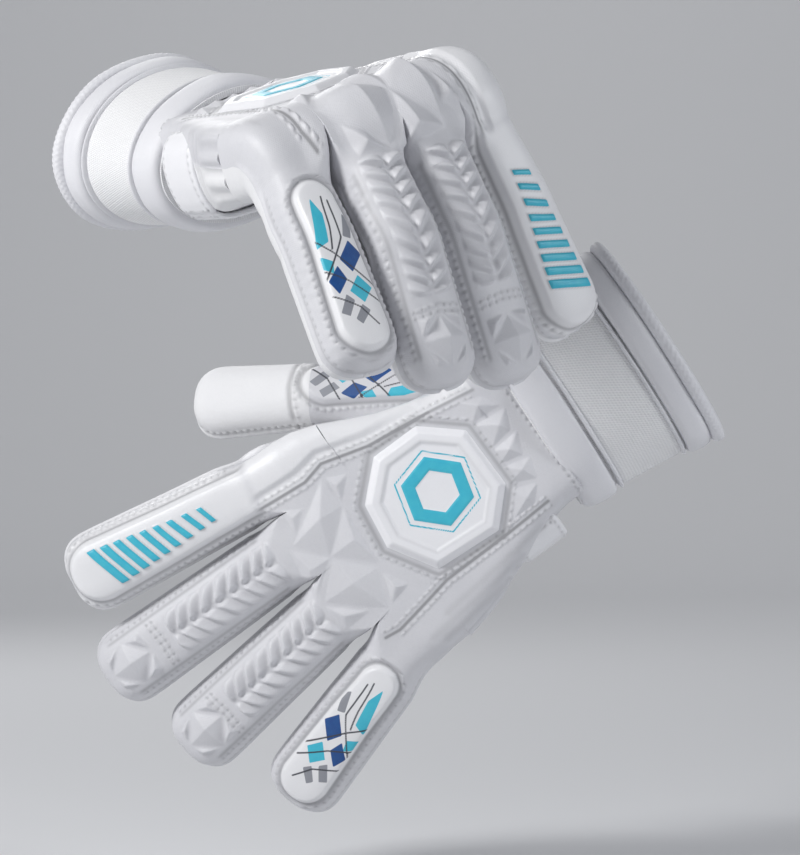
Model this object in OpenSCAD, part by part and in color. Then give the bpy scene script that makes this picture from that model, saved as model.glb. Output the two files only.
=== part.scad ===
// Pair of goalkeeper gloves, crossed as they are worn.
// Every glove is drawn as a right hand in its own frame: origin on the wrist
// hinge, +X towards the fingers, +Y towards the thumb, +Z out of the back of
// the hand. The left glove is the mirror image. Millimetres.

/* [Hand] */
// Distance from the wrist hinge to the middle finger's knuckle hinge
knuckle_x = 98; // [96:1:104]
// Half height of the hand, palm latex to backhand
hand_h = 17; // [16:0.5:19]
// Thickness of the foam backhand and of the palm latex
hand_wall = 5; // [4:0.5:6]
// Height of the badge plate above the backhand
badge_h = 2.6; // [1.5:0.1:3.5]

/* [Fingers] */
// Width of a finger at its knuckle
finger_w = 27; // [24:0.5:27.5]
// Width of a finger near its tip
tip_w = 29; // [26:0.5:31]
// Half height of a finger
finger_h = 12.5; // [12:0.5:13.5]
// Thickness of the backhand foam over a finger
back_t = 5; // [4:0.5:6]
// Thickness of the latex and lining under and beside a finger
grip_t = 4; // [3:0.5:4.5]
// Depth of the finger hinge axes below the middle plane
axis_drop = 4; // [3:0.5:5]

/* [Thumb] */
// Width of the thumb
thumb_w = 25; // [22:0.5:26]
// Length of the thumb from its base hinge to its tip
thumb_len = 107; // [100:1:108]

/* [Cuff] */
// Length of the cuff from the wrist hinge to its mouth
cuff_len = 76; // [72:1:84]
// Wall of the knitted cuff sleeve
cuff_wall = 3; // [2:0.5:4]
// Height of the padded rolls above the sleeve
roll_h = 5; // [3:0.5:6]

/* [Strap] */
// Width of the closure strap
strap_w = 22; // [18:1:24]
// Thickness of the closure strap
strap_t = 3; // [2:0.5:3.5]

/* [Hidden] */

white = [0.93, 0.93, 0.95];
grey = [0.82, 0.82, 0.85];
trim = [0.88, 0.88, 0.90];
dark = [0.55, 0.56, 0.60];

// index, middle, ring, little: knuckle hinge, total length, first length
K = [[knuckle_x - 6, 44.5], [knuckle_x, 16.5], [knuckle_x - 3, -12.5], [knuckle_x - 13, -42]];
finger_len = [106, 113, 108, 97];
base_len = [47, 50, 48, 41];
thumb_at = [26, 33, -8];
thumb_mid = 54;
axis_z = -axis_drop;
// The sleeve sits lower than the hand, flush with the back of the wrist
cuff_drop = 9;
cuff_x = 8;

// Posture of each glove: fan of the fingers, knuckle bend, middle bend,
// thumb [spread, pitch, roll, tip bend], cuff [side bend, forward bend]
FAN = 0;
BEND = 1;
CURL = 2;
THUMB = 3;
CUFF = 4;
LEFT = [[9, 1, -7, -16.5], [6, 8, 9, 8], [6, 8, 9, 9], [38, 11, -20, 14], [3.5, 0]];
RIGHT = [[8, -4, -9.5, -11.5], [77, 68, 57, 53], [8, 13, 18, 9], [30, 72, -10, 10], [2, 8]];

// Axes of the two hands, from the middle of the left cuff's mouth
hl = [-0.804, 0, -0.595];
nl = [0, -1, 0];
hr = [0.59, -0.807, -0.027];
nr = [-0.262, -0.222, 0.94];
right_from_left = [-123, -12, 122];

function unit(v) = v / norm(v);
function ortho(n, h) = unit(n - h * (n * h) / (h * h));
function frame(h, n, p) =
  let (x = unit(h), z = ortho(n, h), y = cross(z, x))
  [[x[0], y[0], z[0], p[0]], [x[1], y[1], z[1], p[1]], [x[2], y[2], z[2], p[2]], [0, 0, 0, 1]];
function rz(a) = [[cos(a), -sin(a), 0, 0], [sin(a), cos(a), 0, 0], [0, 0, 1, 0], [0, 0, 0, 1]];
function ry(a) = [[cos(a), 0, sin(a), 0], [0, 1, 0, 0], [-sin(a), 0, cos(a), 0], [0, 0, 0, 1]];
function rx(a) = [[1, 0, 0, 0], [0, cos(a), -sin(a), 0], [0, sin(a), cos(a), 0], [0, 0, 0, 1]];
function mv(p) = [[1, 0, 0, p[0]], [0, 1, 0, p[1]], [0, 0, 1, p[2]], [0, 0, 0, 1]];
function at(m, p) = let (q = m * [p[0], p[1], p[2], 1]) [q[0], q[1], q[2]];

// Hand frames, placed so that the left cuff's mouth is centred on the origin
left0 = frame(hl, nl, [0, 0, 0]);
left_mouth = at(left0, at(mv([cuff_x, 0, -cuff_drop]) * rz(-LEFT[CUFF][0]), [-cuff_len, 0, 0]));
left_m = frame(hl, nl, -left_mouth);
right_m = frame(hr, nr, -left_mouth + right_from_left);

function finger_m(i, bend) = mv([K[i][0], K[i][1], axis_z]) * ry(bend[i]);
function curl_m(i, fan, bend, curl) =
  finger_m(i, bend) * mv([base_len[i] * cos(fan[i]), base_len[i] * sin(fan[i]), 0]) * ry(curl[i]);
function thumb_m(t) = mv(thumb_at) * rz(t[0]) * ry(t[1]) * rx(t[2]);
function thumb_tip_m(t) = thumb_m(t) * mv([thumb_mid, 0, 0]) * ry(t[3]);
function cuff_m(c) = mv([cuff_x, 0, -cuff_drop]) * rz(c[0]) * ry(c[1]);

// Side-view slab between two heights, extruded across
module side_prism(pts, half = 60)
  translate([0, half, 0]) rotate([90, 0, 0]) linear_extrude(2 * half) polygon(pts);

// One finger segment between hinges, wedge-cut so that it can bend
module segment_cut(len, top, bottom, zt, zb, a_top, a_bot, b_top, b_bot, gap = 0.5, last = false)
  side_prism([
    [gap, 0],
    [gap + top * tan(a_top), zt],
    [last ? len + 30 : len - gap - top * tan(b_top), zt],
    [last ? len + 30 : len - gap, 0],
    [last ? len + 30 : len - gap - bottom * tan(b_bot), zb],
    [gap + bottom * tan(a_bot), zb]]);

function round_end(x0, w0, xe, w1, n = 8) = concat(
  [[x0, -w0 / 2]],
  [for (i = [0:n]) let (a = -90 + 180 * i / n) [xe - w1 * 0.62 + w1 * 0.62 * cos(a), w1 / 2 * sin(a)]],
  [[x0, w0 / 2]]);

module base_plan(len, w0, w1) polygon([[-2, -w0 / 2], [len + 2, -w1 / 2], [len + 2, w1 / 2], [-2, w0 / 2]]);

// lo and hi are the heights of the finger's underside and back from its axis
module base_solid(len, fan, w0, w1, part) {
  lo = -finger_h - axis_z;
  hi = finger_h - axis_z;
  intersection() {
    rotate([0, 0, fan])
      if (part == "back")
        translate([0, 0, hi - back_t]) linear_extrude(back_t) base_plan(len, w0, w1);
      else
        difference() {
          translate([0, 0, lo]) linear_extrude(hi - back_t - lo) base_plan(len, w0, w1);
          translate([0, 0, lo + grip_t]) linear_extrude(hi - lo) base_plan(len + 4, w0 - 2 * grip_t, w1 - 2 * grip_t);
          translate([-6, -(w0 - 2 * grip_t) / 2, lo + grip_t]) cube([8, w0 - 2 * grip_t, hi - lo]);
        }
    segment_cut(len * cos(fan), hi, -lo, hi, lo, 6, 46, 2.5, 38.5);
  }
}

module tip_solid(len, fan, w0, w1, part) {
  lo = -finger_h - axis_z;
  hi = finger_h - axis_z - 1;
  lo2 = lo + 0.5;
  intersection() {
    rotate([0, 0, fan])
      if (part == "back")
        translate([0, 0, hi - back_t]) linear_extrude(back_t) polygon(round_end(-2, w0, len, w1));
      else
        difference() {
          translate([0, 0, lo2]) linear_extrude(hi - back_t - lo2) polygon(round_end(-2, w0, len, w1));
          translate([0, 0, lo2 + grip_t]) linear_extrude(hi - lo)
            polygon(round_end(-6, w0 - 2 * grip_t, len - grip_t, w1 - 2 * grip_t));
        }
    segment_cut(len, hi, -lo2, hi, lo2, 2.5, 38.5, 0, 0, last = true);
  }
}

mid_w = (finger_w + tip_w) / 2;
function base_at(i, p) = finger_m(i, p[BEND]);
function tip_at(i, p) = curl_m(i, p[FAN], p[BEND], p[CURL]);

module finger_base_back(i, p) color(grey)
  multmatrix(base_at(i, p)) base_solid(base_len[i], p[FAN][i], finger_w, mid_w, "back");
module finger_base_grip(i, p) color(white)
  multmatrix(base_at(i, p)) base_solid(base_len[i], p[FAN][i], finger_w, mid_w, "grip");
module finger_tip_back(i, p) color(grey)
  multmatrix(tip_at(i, p)) tip_solid(finger_len[i] - base_len[i], p[FAN][i], mid_w, tip_w, "back");
module finger_tip_grip(i, p) color(white)
  multmatrix(tip_at(i, p)) tip_solid(finger_len[i] - base_len[i], p[FAN][i], mid_w, tip_w, "grip");

// The thumb's cross section is turned about its own length
thumb_h = 12.5;
module thumb_base_plan() polygon([[16, -10], [thumb_mid + 4, -thumb_w / 2], [thumb_mid + 4, thumb_w / 2], [16, 10]]);
module thumb_base_cut()
  side_prism([[16, thumb_h], [thumb_mid - 1, thumb_h], [thumb_mid - 0.5, 0], [thumb_mid - 6, -thumb_h], [16, -thumb_h]]);
module thumb_tip_plan(inset) polygon(round_end(-2 - inset, thumb_w - 2 * inset, thumb_len - thumb_mid - inset, thumb_w - 2 * inset));
module thumb_tip_cut()
  side_prism([[1, thumb_h], [thumb_len, thumb_h], [thumb_len, -thumb_h], [6, -thumb_h], [0.5, 0]]);

module thumb_base_back(p) color(grey) multmatrix(thumb_m(p[THUMB])) intersection() {
  translate([0, 0, thumb_h - back_t]) linear_extrude(back_t) thumb_base_plan();
  thumb_base_cut();
}
module thumb_base_grip(p) color(white) multmatrix(thumb_m(p[THUMB])) intersection() {
  difference() {
    translate([0, 0, -thumb_h]) linear_extrude(2 * thumb_h - back_t) thumb_base_plan();
    translate([0, 0, -thumb_h + grip_t]) linear_extrude(2 * thumb_h)
      polygon([[10, -10 + grip_t], [16, -10 + grip_t], [thumb_mid + 6, -thumb_w / 2 + grip_t],
        [thumb_mid + 6, thumb_w / 2 - grip_t], [16, 10 - grip_t], [10, 10 - grip_t]]);
  }
  thumb_base_cut();
}
module thumb_tip_back(p) color(grey) multmatrix(thumb_tip_m(p[THUMB])) intersection() {
  translate([0, 0, thumb_h - back_t]) linear_extrude(back_t) thumb_tip_plan(0);
  thumb_tip_cut();
}
module thumb_tip_grip(p) color(white) multmatrix(thumb_tip_m(p[THUMB])) intersection() {
  difference() {
    translate([0, 0, -thumb_h]) linear_extrude(2 * thumb_h - back_t) thumb_tip_plan(0);
    translate([0, 0, -thumb_h + grip_t]) linear_extrude(2 * thumb_h) thumb_tip_plan(grip_t);
  }
  thumb_tip_cut();
}

// Plan of the hand; cut is how far the front edge stays behind the knuckle hinges
function hand_plan(cut) = [
  [12, -37.5], [12, 34.5], [28, 31], [38, 23], [60, 25], [72, 38],
  [K[0][0] - cut, 38 + (K[0][0] - cut - 72) * 0.88], [K[0][0] - cut, 29.8], [K[1][0] - cut, 29.8], [K[1][0] - cut, 2.2],
  [K[2][0] - cut, 2.2], [K[2][0] - cut, -27], [K[3][0] - cut, -27], [K[3][0] - cut, -57 + (cut - 3) * 0.2],
  [60, -50], [30, -41]];

module palm_latex()
  color(white) translate([0, 0, -hand_h]) linear_extrude(hand_wall) polygon(hand_plan(13));

module backhand()
  color(white) translate([0, 0, hand_h - hand_wall]) linear_extrude(hand_wall) polygon(hand_plan(3.4));

module badge_plate()
  color(grey) translate([0, 0, hand_h]) linear_extrude(badge_h)
    polygon([[22, -14], [22, 14], [38, 28], [60, 28], [75, 14], [78, -6], [66, -26], [36, -28]]);

// Sewn side walls, open at the wrist, at the thumb and at each finger
module side_gussets() {
  h = 2 * (hand_h - hand_wall);
  color(grey) translate([0, 0, -h / 2]) linear_extrude(h) {
    polygon([[12, 34.5], [28, 31], [28, 27.5], [12, 31]]);
    polygon([[60, 25], [72, 38], [K[0][0] - 14, 38 + (K[0][0] - 86) * 0.88], [K[0][0] - 14, 34.4 + (K[0][0] - 86) * 0.88], [73.5, 34.5], [62.5, 22.6]]);
    polygon([[12, -37.5], [30, -41], [60, -50], [K[3][0] - 14, -53.2], [K[3][0] - 14, -49.6], [60, -46.4], [30, -37.5], [12, -34]]);
  }
}

// Strap: sewn to the little-finger side, closed across the heel of the palm
module strap_root()
  color(white) linear_extrude(24, center = true)
    polygon([[13, -41.2], [13 + strap_w, -45.5], [13 + strap_w, -45.5 - strap_t], [13, -41.2 - strap_t]]);

flap_z = -hand_h - 4.7;
module strap_flap() color(white) {
  translate([13, -41, flap_z]) cube([strap_w, 44, strap_t]);
  translate([7 + strap_w / 2, 3, flap_z + 0.5]) cube([12, 8, strap_t - 1]);
}
module hook_patch() color(dark) translate([15, -20, flap_z + strap_t]) cube([strap_w - 4, 22, 0.8]);
module loop_patch() color(dark) translate([15, -34, -hand_h - 0.6]) cube([strap_w - 4, 42, 0.6]);

// Oval sleeve, widening towards its mouth
function cuff_a(x) = 36.5 + (43.5 - 36.5) * (-x) / cuff_len;
function cuff_b(x) = 24 + (31 - 24) * (-x) / cuff_len;
function oval(x, t, n) = [for (i = [0:n - 1]) let (a = 360 * i / n) [x, (cuff_a(x) + t) * cos(a), (cuff_b(x) + t) * sin(a)]];
module oval_ring(x0, x1, tin, tout, n = 28)
  polyhedron(
    points = concat(oval(x0, tout, n), oval(x1, tout, n), oval(x0, tin, n), oval(x1, tin, n)),
    faces = [for (i = [0:n - 1]) let (j = (i + 1) % n) each [
      [i, n + j, j], [i, n + i, n + j],
      [2 * n + j, 3 * n + i, 2 * n + i], [2 * n + j, 3 * n + j, 3 * n + i],
      [j, 2 * n + i, i], [j, 2 * n + j, 2 * n + i],
      [n + i, 3 * n + j, n + j], [n + i, 3 * n + i, 3 * n + j]]]);

module cuff_sleeve(p) color(grey) multmatrix(cuff_m(p[CUFF])) oval_ring(-cuff_len, -9, 0, cuff_wall);
module cuff_rolls(p) color(trim) multmatrix(cuff_m(p[CUFF])) {
  oval_ring(-25, -12, cuff_wall + 0.02, cuff_wall + roll_h);
  oval_ring(-cuff_len + 5, -cuff_len + 15, cuff_wall + 0.02, cuff_wall + roll_h);
  oval_ring(-cuff_len, -cuff_len + 3, cuff_wall + 0.02, cuff_wall + 2.5);
}

module left() multmatrix(left_m) mirror([0, 1, 0]) children();
module right() multmatrix(right_m) children();

left() palm_latex();  // left_palm_latex
left() backhand();  // left_backhand
left() badge_plate();  // left_badge_plate
left() side_gussets();  // left_side_gussets
left() strap_root();  // left_strap_root
left() loop_patch();  // left_loop_patch
left() strap_flap();  // left_strap_flap
left() hook_patch();  // left_hook_patch
left() cuff_sleeve(LEFT);  // left_cuff_sleeve
left() cuff_rolls(LEFT);  // left_cuff_rolls
left() finger_base_back(0, LEFT);  // left_index_base_back
left() finger_base_grip(0, LEFT);  // left_index_base_grip
left() finger_tip_back(0, LEFT);  // left_index_tip_back
left() finger_tip_grip(0, LEFT);  // left_index_tip_grip
left() finger_base_back(1, LEFT);  // left_middle_base_back
left() finger_base_grip(1, LEFT);  // left_middle_base_grip
left() finger_tip_back(1, LEFT);  // left_middle_tip_back
left() finger_tip_grip(1, LEFT);  // left_middle_tip_grip
left() finger_base_back(2, LEFT);  // left_ring_base_back
left() finger_base_grip(2, LEFT);  // left_ring_base_grip
left() finger_tip_back(2, LEFT);  // left_ring_tip_back
left() finger_tip_grip(2, LEFT);  // left_ring_tip_grip
left() finger_base_back(3, LEFT);  // left_little_base_back
left() finger_base_grip(3, LEFT);  // left_little_base_grip
left() finger_tip_back(3, LEFT);  // left_little_tip_back
left() finger_tip_grip(3, LEFT);  // left_little_tip_grip
left() thumb_base_back(LEFT);  // left_thumb_base_back
left() thumb_base_grip(LEFT);  // left_thumb_base_grip
left() thumb_tip_back(LEFT);  // left_thumb_tip_back
left() thumb_tip_grip(LEFT);  // left_thumb_tip_grip
right() palm_latex();  // right_palm_latex
right() backhand();  // right_backhand
right() badge_plate();  // right_badge_plate
right() side_gussets();  // right_side_gussets
right() strap_root();  // right_strap_root
right() loop_patch();  // right_loop_patch
right() strap_flap();  // right_strap_flap
right() hook_patch();  // right_hook_patch
right() cuff_sleeve(RIGHT);  // right_cuff_sleeve
right() cuff_rolls(RIGHT);  // right_cuff_rolls
right() finger_base_back(0, RIGHT);  // right_index_base_back
right() finger_base_grip(0, RIGHT);  // right_index_base_grip
right() finger_tip_back(0, RIGHT);  // right_index_tip_back
right() finger_tip_grip(0, RIGHT);  // right_index_tip_grip
right() finger_base_back(1, RIGHT);  // right_middle_base_back
right() finger_base_grip(1, RIGHT);  // right_middle_base_grip
right() finger_tip_back(1, RIGHT);  // right_middle_tip_back
right() finger_tip_grip(1, RIGHT);  // right_middle_tip_grip
right() finger_base_back(2, RIGHT);  // right_ring_base_back
right() finger_base_grip(2, RIGHT);  // right_ring_base_grip
right() finger_tip_back(2, RIGHT);  // right_ring_tip_back
right() finger_tip_grip(2, RIGHT);  // right_ring_tip_grip
right() finger_base_back(3, RIGHT);  // right_little_base_back
right() finger_base_grip(3, RIGHT);  // right_little_base_grip
right() finger_tip_back(3, RIGHT);  // right_little_tip_back
right() finger_tip_grip(3, RIGHT);  // right_little_tip_grip
right() thumb_base_back(RIGHT);  // right_thumb_base_back
right() thumb_base_grip(RIGHT);  // right_thumb_base_grip
right() thumb_tip_back(RIGHT);  // right_thumb_tip_back
right() thumb_tip_grip(RIGHT);  // right_thumb_tip_grip
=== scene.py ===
import bpy, math
import numpy as np
from mathutils import Vector, Matrix


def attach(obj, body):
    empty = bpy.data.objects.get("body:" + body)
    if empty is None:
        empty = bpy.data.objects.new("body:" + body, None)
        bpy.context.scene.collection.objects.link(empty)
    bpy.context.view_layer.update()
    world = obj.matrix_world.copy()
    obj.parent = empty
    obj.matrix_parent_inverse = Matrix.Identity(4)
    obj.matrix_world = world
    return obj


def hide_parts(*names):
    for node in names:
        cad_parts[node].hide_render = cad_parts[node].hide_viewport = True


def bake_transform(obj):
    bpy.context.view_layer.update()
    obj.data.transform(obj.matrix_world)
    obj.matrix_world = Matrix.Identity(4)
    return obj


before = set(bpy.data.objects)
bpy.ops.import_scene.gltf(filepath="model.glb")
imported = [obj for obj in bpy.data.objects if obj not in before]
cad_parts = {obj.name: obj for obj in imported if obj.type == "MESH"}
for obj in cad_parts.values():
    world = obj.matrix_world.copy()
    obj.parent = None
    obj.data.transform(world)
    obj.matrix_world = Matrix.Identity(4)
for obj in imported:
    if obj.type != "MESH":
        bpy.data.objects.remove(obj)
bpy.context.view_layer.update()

MM = 0.001

# ---------------------------------------------------------------- the part's own numbers (mm, degrees)
K = np.array([[92, 44.5], [98, 16.5], [95, -12.5], [85, -42]], float)
FLEN = [106, 113, 108, 97]
BLEN = [47, 50, 48, 41]
FN = ["index", "middle", "ring", "little"]
THUMB_AT = (26, 33, -8)
TMID, TLEN = 54, 107
POSE = {
    "left": dict(fan=[9, 1, -7, -16.5], bend=[6, 8, 9, 8], curl=[6, 8, 9, 9], thumb=[38, 11, -20, 14], cuff=[3.5, 0]),
    "right": dict(fan=[8, -4, -9.5, -11.5], bend=[77, 68, 57, 53], curl=[8, 13, 18, 9], thumb=[30, 72, -10, 10], cuff=[2, 8]),
}
rad = math.radians


def unit(v):
    v = np.array(v, float)
    return v / np.linalg.norm(v)


def axes(h, n, p):
    x = unit(h)
    n = np.array(n, float)
    z = unit(n - x * (x @ n))
    m = np.eye(4)
    m[:3, 0], m[:3, 1], m[:3, 2], m[:3, 3] = x, np.cross(z, x), z, p
    return m


def rz(a):
    c, s = math.cos(rad(a)), math.sin(rad(a))
    return np.array([[c, -s, 0, 0], [s, c, 0, 0], [0, 0, 1, 0], [0, 0, 0, 1]], float)


def ry(a):
    c, s = math.cos(rad(a)), math.sin(rad(a))
    return np.array([[c, 0, s, 0], [0, 1, 0, 0], [-s, 0, c, 0], [0, 0, 0, 1]], float)


def rx(a):
    c, s = math.cos(rad(a)), math.sin(rad(a))
    return np.array([[1, 0, 0, 0], [0, c, -s, 0], [0, s, c, 0], [0, 0, 0, 1]], float)


def mv(p):
    m = np.eye(4)
    m[:3, 3] = p
    return m


def app(m, P):
    return P @ m[:3, :3].T + m[:3, 3]


HL, NL, HR, NR = [-0.804, 0, -0.595], [0, -1, 0], [0.59, -0.807, -0.027], [-0.262, -0.222, 0.94]
left0 = axes(HL, NL, [0, 0, 0])
mouth = (left0 @ mv([8, 0, -9]) @ rz(-3.5) @ np.array([-76, 0, 0, 1.0]))[:3]
GM = {
    "left": axes(HL, NL, -mouth) @ np.diag([1, -1, 1, 1.0]),
    "right": axes(HR, NR, -mouth + np.array([-123, -12, 122])),
}


def cuff_m(s):
    c = POSE[s]["cuff"]
    return mv([8, 0, -9]) @ rz(c[0]) @ ry(c[1])


def thumb_m(s):
    t = POSE[s]["thumb"]
    return mv(THUMB_AT) @ rz(t[0]) @ ry(t[1]) @ rx(t[2])


def sm(t):
    t = np.clip(t, 0, 1)
    return t * t * (3 - 2 * t)


def lerp(a, b, t):
    return a + (b - a) * t


# ---------------------------------------------------------------- signed distances, positive inside
def sd_poly(x, y, pts):
    p = np.array(pts, float)
    d = np.full(np.shape(x), 1e9)
    inside = np.zeros(np.shape(x), bool)
    n = len(p)
    for i in range(n):
        a, b = p[i], p[(i + 1) % n]
        e = b - a
        wx, wy = x - a[0], y - a[1]
        t = np.clip((wx * e[0] + wy * e[1]) / (e @ e), 0, 1)
        d = np.minimum(d, np.hypot(wx - e[0] * t, wy - e[1] * t))
        c = (a[1] > y) != (b[1] > y)
        xx = a[0] + (y - a[1]) * e[0] / (e[1] if abs(e[1]) > 1e-9 else 1e-9)
        inside ^= c & (x < xx)
    return np.where(inside, d, -d)


def sd_path(x, y, pts):
    """(distance to an open path, run along it)"""
    p = np.array(pts, float)
    d = np.full(np.shape(x), 1e9)
    run = np.zeros(np.shape(x))
    acc = 0.0
    for a, b in zip(p[:-1], p[1:]):
        e = b - a
        L = math.hypot(*e)
        wx, wy = x - a[0], y - a[1]
        t = np.clip((wx * e[0] + wy * e[1]) / (e @ e), 0, 1)
        dd = np.hypot(wx - e[0] * t, wy - e[1] * t)
        run = np.where(dd < d, acc + t * L, run)
        d = np.minimum(d, dd)
        acc += L
    return d, run


def sd_capsule(x, y, a, b, r0, r1=None):
    r1 = r0 if r1 is None else r1
    e = np.array(b, float) - np.array(a, float)
    t = np.clip(((x - a[0]) * e[0] + (y - a[1]) * e[1]) / (e @ e), 0, 1)
    return lerp(r0, r1, t) - np.hypot(x - a[0] - e[0] * t, y - a[1] - e[1] * t)


def pyramid(x, y, pts, apex, h):
    """a faceted pyramid over a convex polygon"""
    p = np.array(pts, float)
    n = len(p)
    out = np.full(np.shape(x), 1e9)
    ar = sum(p[i][0] * p[(i + 1) % n][1] - p[(i + 1) % n][0] * p[i][1] for i in range(n))
    sg = 1.0 if ar > 0 else -1.0
    for i in range(n):
        a, b = p[i], p[(i + 1) % n]
        e = (b - a) / math.hypot(*(b - a))
        d = sg * (e[0] * (y - a[1]) - e[1] * (x - a[0]))
        D = sg * (e[0] * (apex[1] - a[1]) - e[1] * (apex[0] - a[0]))
        out = np.minimum(out, d / max(D, 0.05))
    return h * np.clip(out, 0, 1)


def stitch(d, run, pitch=3.3):
    """(relief, darkening) of a stitched line at distance d: painted shade in the sunk holes between the dashes, and a
    slightly darker thread tone on the dashes
    """
    f = np.abs((run / pitch) % 1.0 - 0.5) * 2
    dash = sm((0.80 - f) / 0.22)
    line = np.exp(-(d / 0.62) ** 2)
    return 0.42 * line * dash - 0.30 * line * (1 - dash), 0.55 * line * (1 - dash) + 0.16 * line * dash


def groove(d, w=0.8, depth=0.6):
    # a sunk line, with painted shade along its bottom
    g = np.exp(-(d / w) ** 2)
    return -depth * g, 0.8 * g


class Look:
    """relief and prints gathered for a patch of surface, with dark holding painted shade in grooves, seams, folds and
    stitch holes, and a little thread tone
    """

    def __init__(self, shape):
        self.h = np.zeros(shape)
        self.dark = np.zeros(shape)
        self.teal = np.full(shape, -9.0)
        self.navy = np.full(shape, -9.0)
        self.grey = np.full(shape, -9.0)
        self.line = np.full(shape, -9.0)
        self.pad = np.zeros(shape)

    def add(self, hd, mask=1.0):
        self.h += hd[0] * mask
        self.dark += hd[1] * mask

    def seam(self, x, y, pts, off=1.7, side=1, cut=True):
        d, run = sd_path(x, y, pts)
        if cut:
            self.add(groove(d, 0.7, 0.75))
        p = np.array(pts, float)
        t = np.zeros_like(p)
        t[1:-1] = p[2:] - p[:-2]
        t[0], t[-1] = p[1] - p[0], p[-1] - p[-2]
        t /= np.linalg.norm(t, axis=1)[:, None]
        q = p + side * off * np.stack([-t[:, 1], t[:, 0]], 1)
        self.add(stitch(*sd_path(x, y, q)))

    def stitched(self, x, y, pts):
        self.add(stitch(*sd_path(x, y, pts)))


# ---------------------------------------------------------------- mesh building
def normals_of(P, wrap):
    if wrap:
        dj = np.roll(P, -1, 1) - np.roll(P, 1, 1)
    else:
        dj = np.gradient(P, axis=1)
    di = np.gradient(P, axis=0)
    n = np.cross(dj, di)
    l = np.linalg.norm(n, axis=2, keepdims=True)
    return n / np.maximum(l, 1e-9)


def mesh_obj(name, V, quads, tris, attrs, mat, smooth=True):
    me = bpy.data.meshes.new(name)
    V = np.ascontiguousarray(V, np.float32)
    me.vertices.add(len(V))
    me.vertices.foreach_set("co", V.ravel())
    quads = np.asarray(quads, np.int32).reshape(-1, 4)
    tris = np.asarray(tris, np.int32).reshape(-1, 3)
    loops = np.concatenate([quads.ravel(), tris.ravel()]).astype(np.int32)
    me.loops.add(len(loops))
    me.loops.foreach_set("vertex_index", loops)
    tot = np.concatenate([np.full(len(quads), 4), np.full(len(tris), 3)]).astype(np.int32)
    st = (np.concatenate([[0], np.cumsum(tot)[:-1]])).astype(np.int32)
    me.polygons.add(len(tot))
    me.polygons.foreach_set("loop_start", st)
    me.polygons.foreach_set("loop_total", tot)
    me.polygons.foreach_set("use_smooth", np.full(len(tot), smooth, bool))
    me.update(calc_edges=True)
    me.validate()
    me.set_sharp_from_angle(angle=rad(66))
    for k, a in attrs.items():
        a = np.ascontiguousarray(a, np.float32)
        at = me.attributes.new(k, "FLOAT_VECTOR" if a.ndim == 2 else "FLOAT", "POINT")
        at.data.foreach_set("vector" if a.ndim == 2 else "value", a.ravel())
    me.materials.append(mat)
    ob = bpy.data.objects.new(name, me)
    bpy.context.scene.collection.objects.link(ob)
    return ob


def grid(ns, nt, wrap=True, base=0):
    i = np.arange(ns - 1)[:, None]
    j = np.arange(nt if wrap else nt - 1)[None, :]
    j2 = (j + 1) % nt
    a = i * nt + j
    b = i * nt + j2
    c = (i + 1) * nt + j2
    d = (i + 1) * nt + j
    return np.stack([np.broadcast_to(v, (ns - 1, j.shape[1])) for v in (a, b, c, d)], -1).reshape(-1, 4) + base


def tube(name, side, Prest, cc, look, mat, caps=(True, True), w=None):
    """a closed piece from rows of loops; Prest is in the glove's own frame, in mm"""
    ns, nt, _ = Prest.shape
    W = app(GM[side], Prest.reshape(-1, 3)) * MM
    Q = grid(ns, nt)
    extra, T = [], []
    at = {"cc": cc.reshape(-1, 3)}
    if look is not None:
        for k in ("dark", "teal", "navy", "grey", "line", "pad"):
            at["c_" + k] = getattr(look, k).reshape(-1)
        at["c_h"] = look.h.reshape(-1)
    ex_at = {k: [] for k in at}
    wv = None if w is None else list(w.reshape(-1))
    n0 = len(W)
    for end, row in ((0, 0), (1, ns - 1)):
        if not caps[end]:
            continue
        # the cap has its own ring so that its edge is crisp
        ring = np.arange(nt) + row * nt
        base = n0 + len(extra)
        extra += list(W[ring])
        extra.append(W[ring].mean(0))
        for k in at:
            ex_at[k] += list(at[k][ring])
            ex_at[k].append(at[k][ring].mean(0))
        if wv is not None:
            wv += [wv[r] for r in ring] + [wv[row * nt]]
        cidx = base + nt
        for j in range(nt):
            a, b = base + j, base + (j + 1) % nt
            T.append((b, a, cidx) if end == 0 else (a, b, cidx))
    V = np.vstack([W, np.array(extra).reshape(-1, 3)]) if extra else W
    for k in at:
        if extra:
            at[k] = np.concatenate([at[k], np.array(ex_at[k])])
    flip = side == "left"
    T = np.array(T, int).reshape(-1, 3)
    # the loops run so that the normal of grid() points outwards on the right glove
    if flip:
        Q = Q[:, ::-1]
        T = T[:, ::-1]
    ob = mesh_obj(name, V, Q, T, at, mat)
    ob["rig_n"] = 1
    return ob, (None if wv is None else np.array(wv, np.float32)), W


def set_blend(ob, a, b, wv, p0, p1):
    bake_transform(ob)


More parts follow.
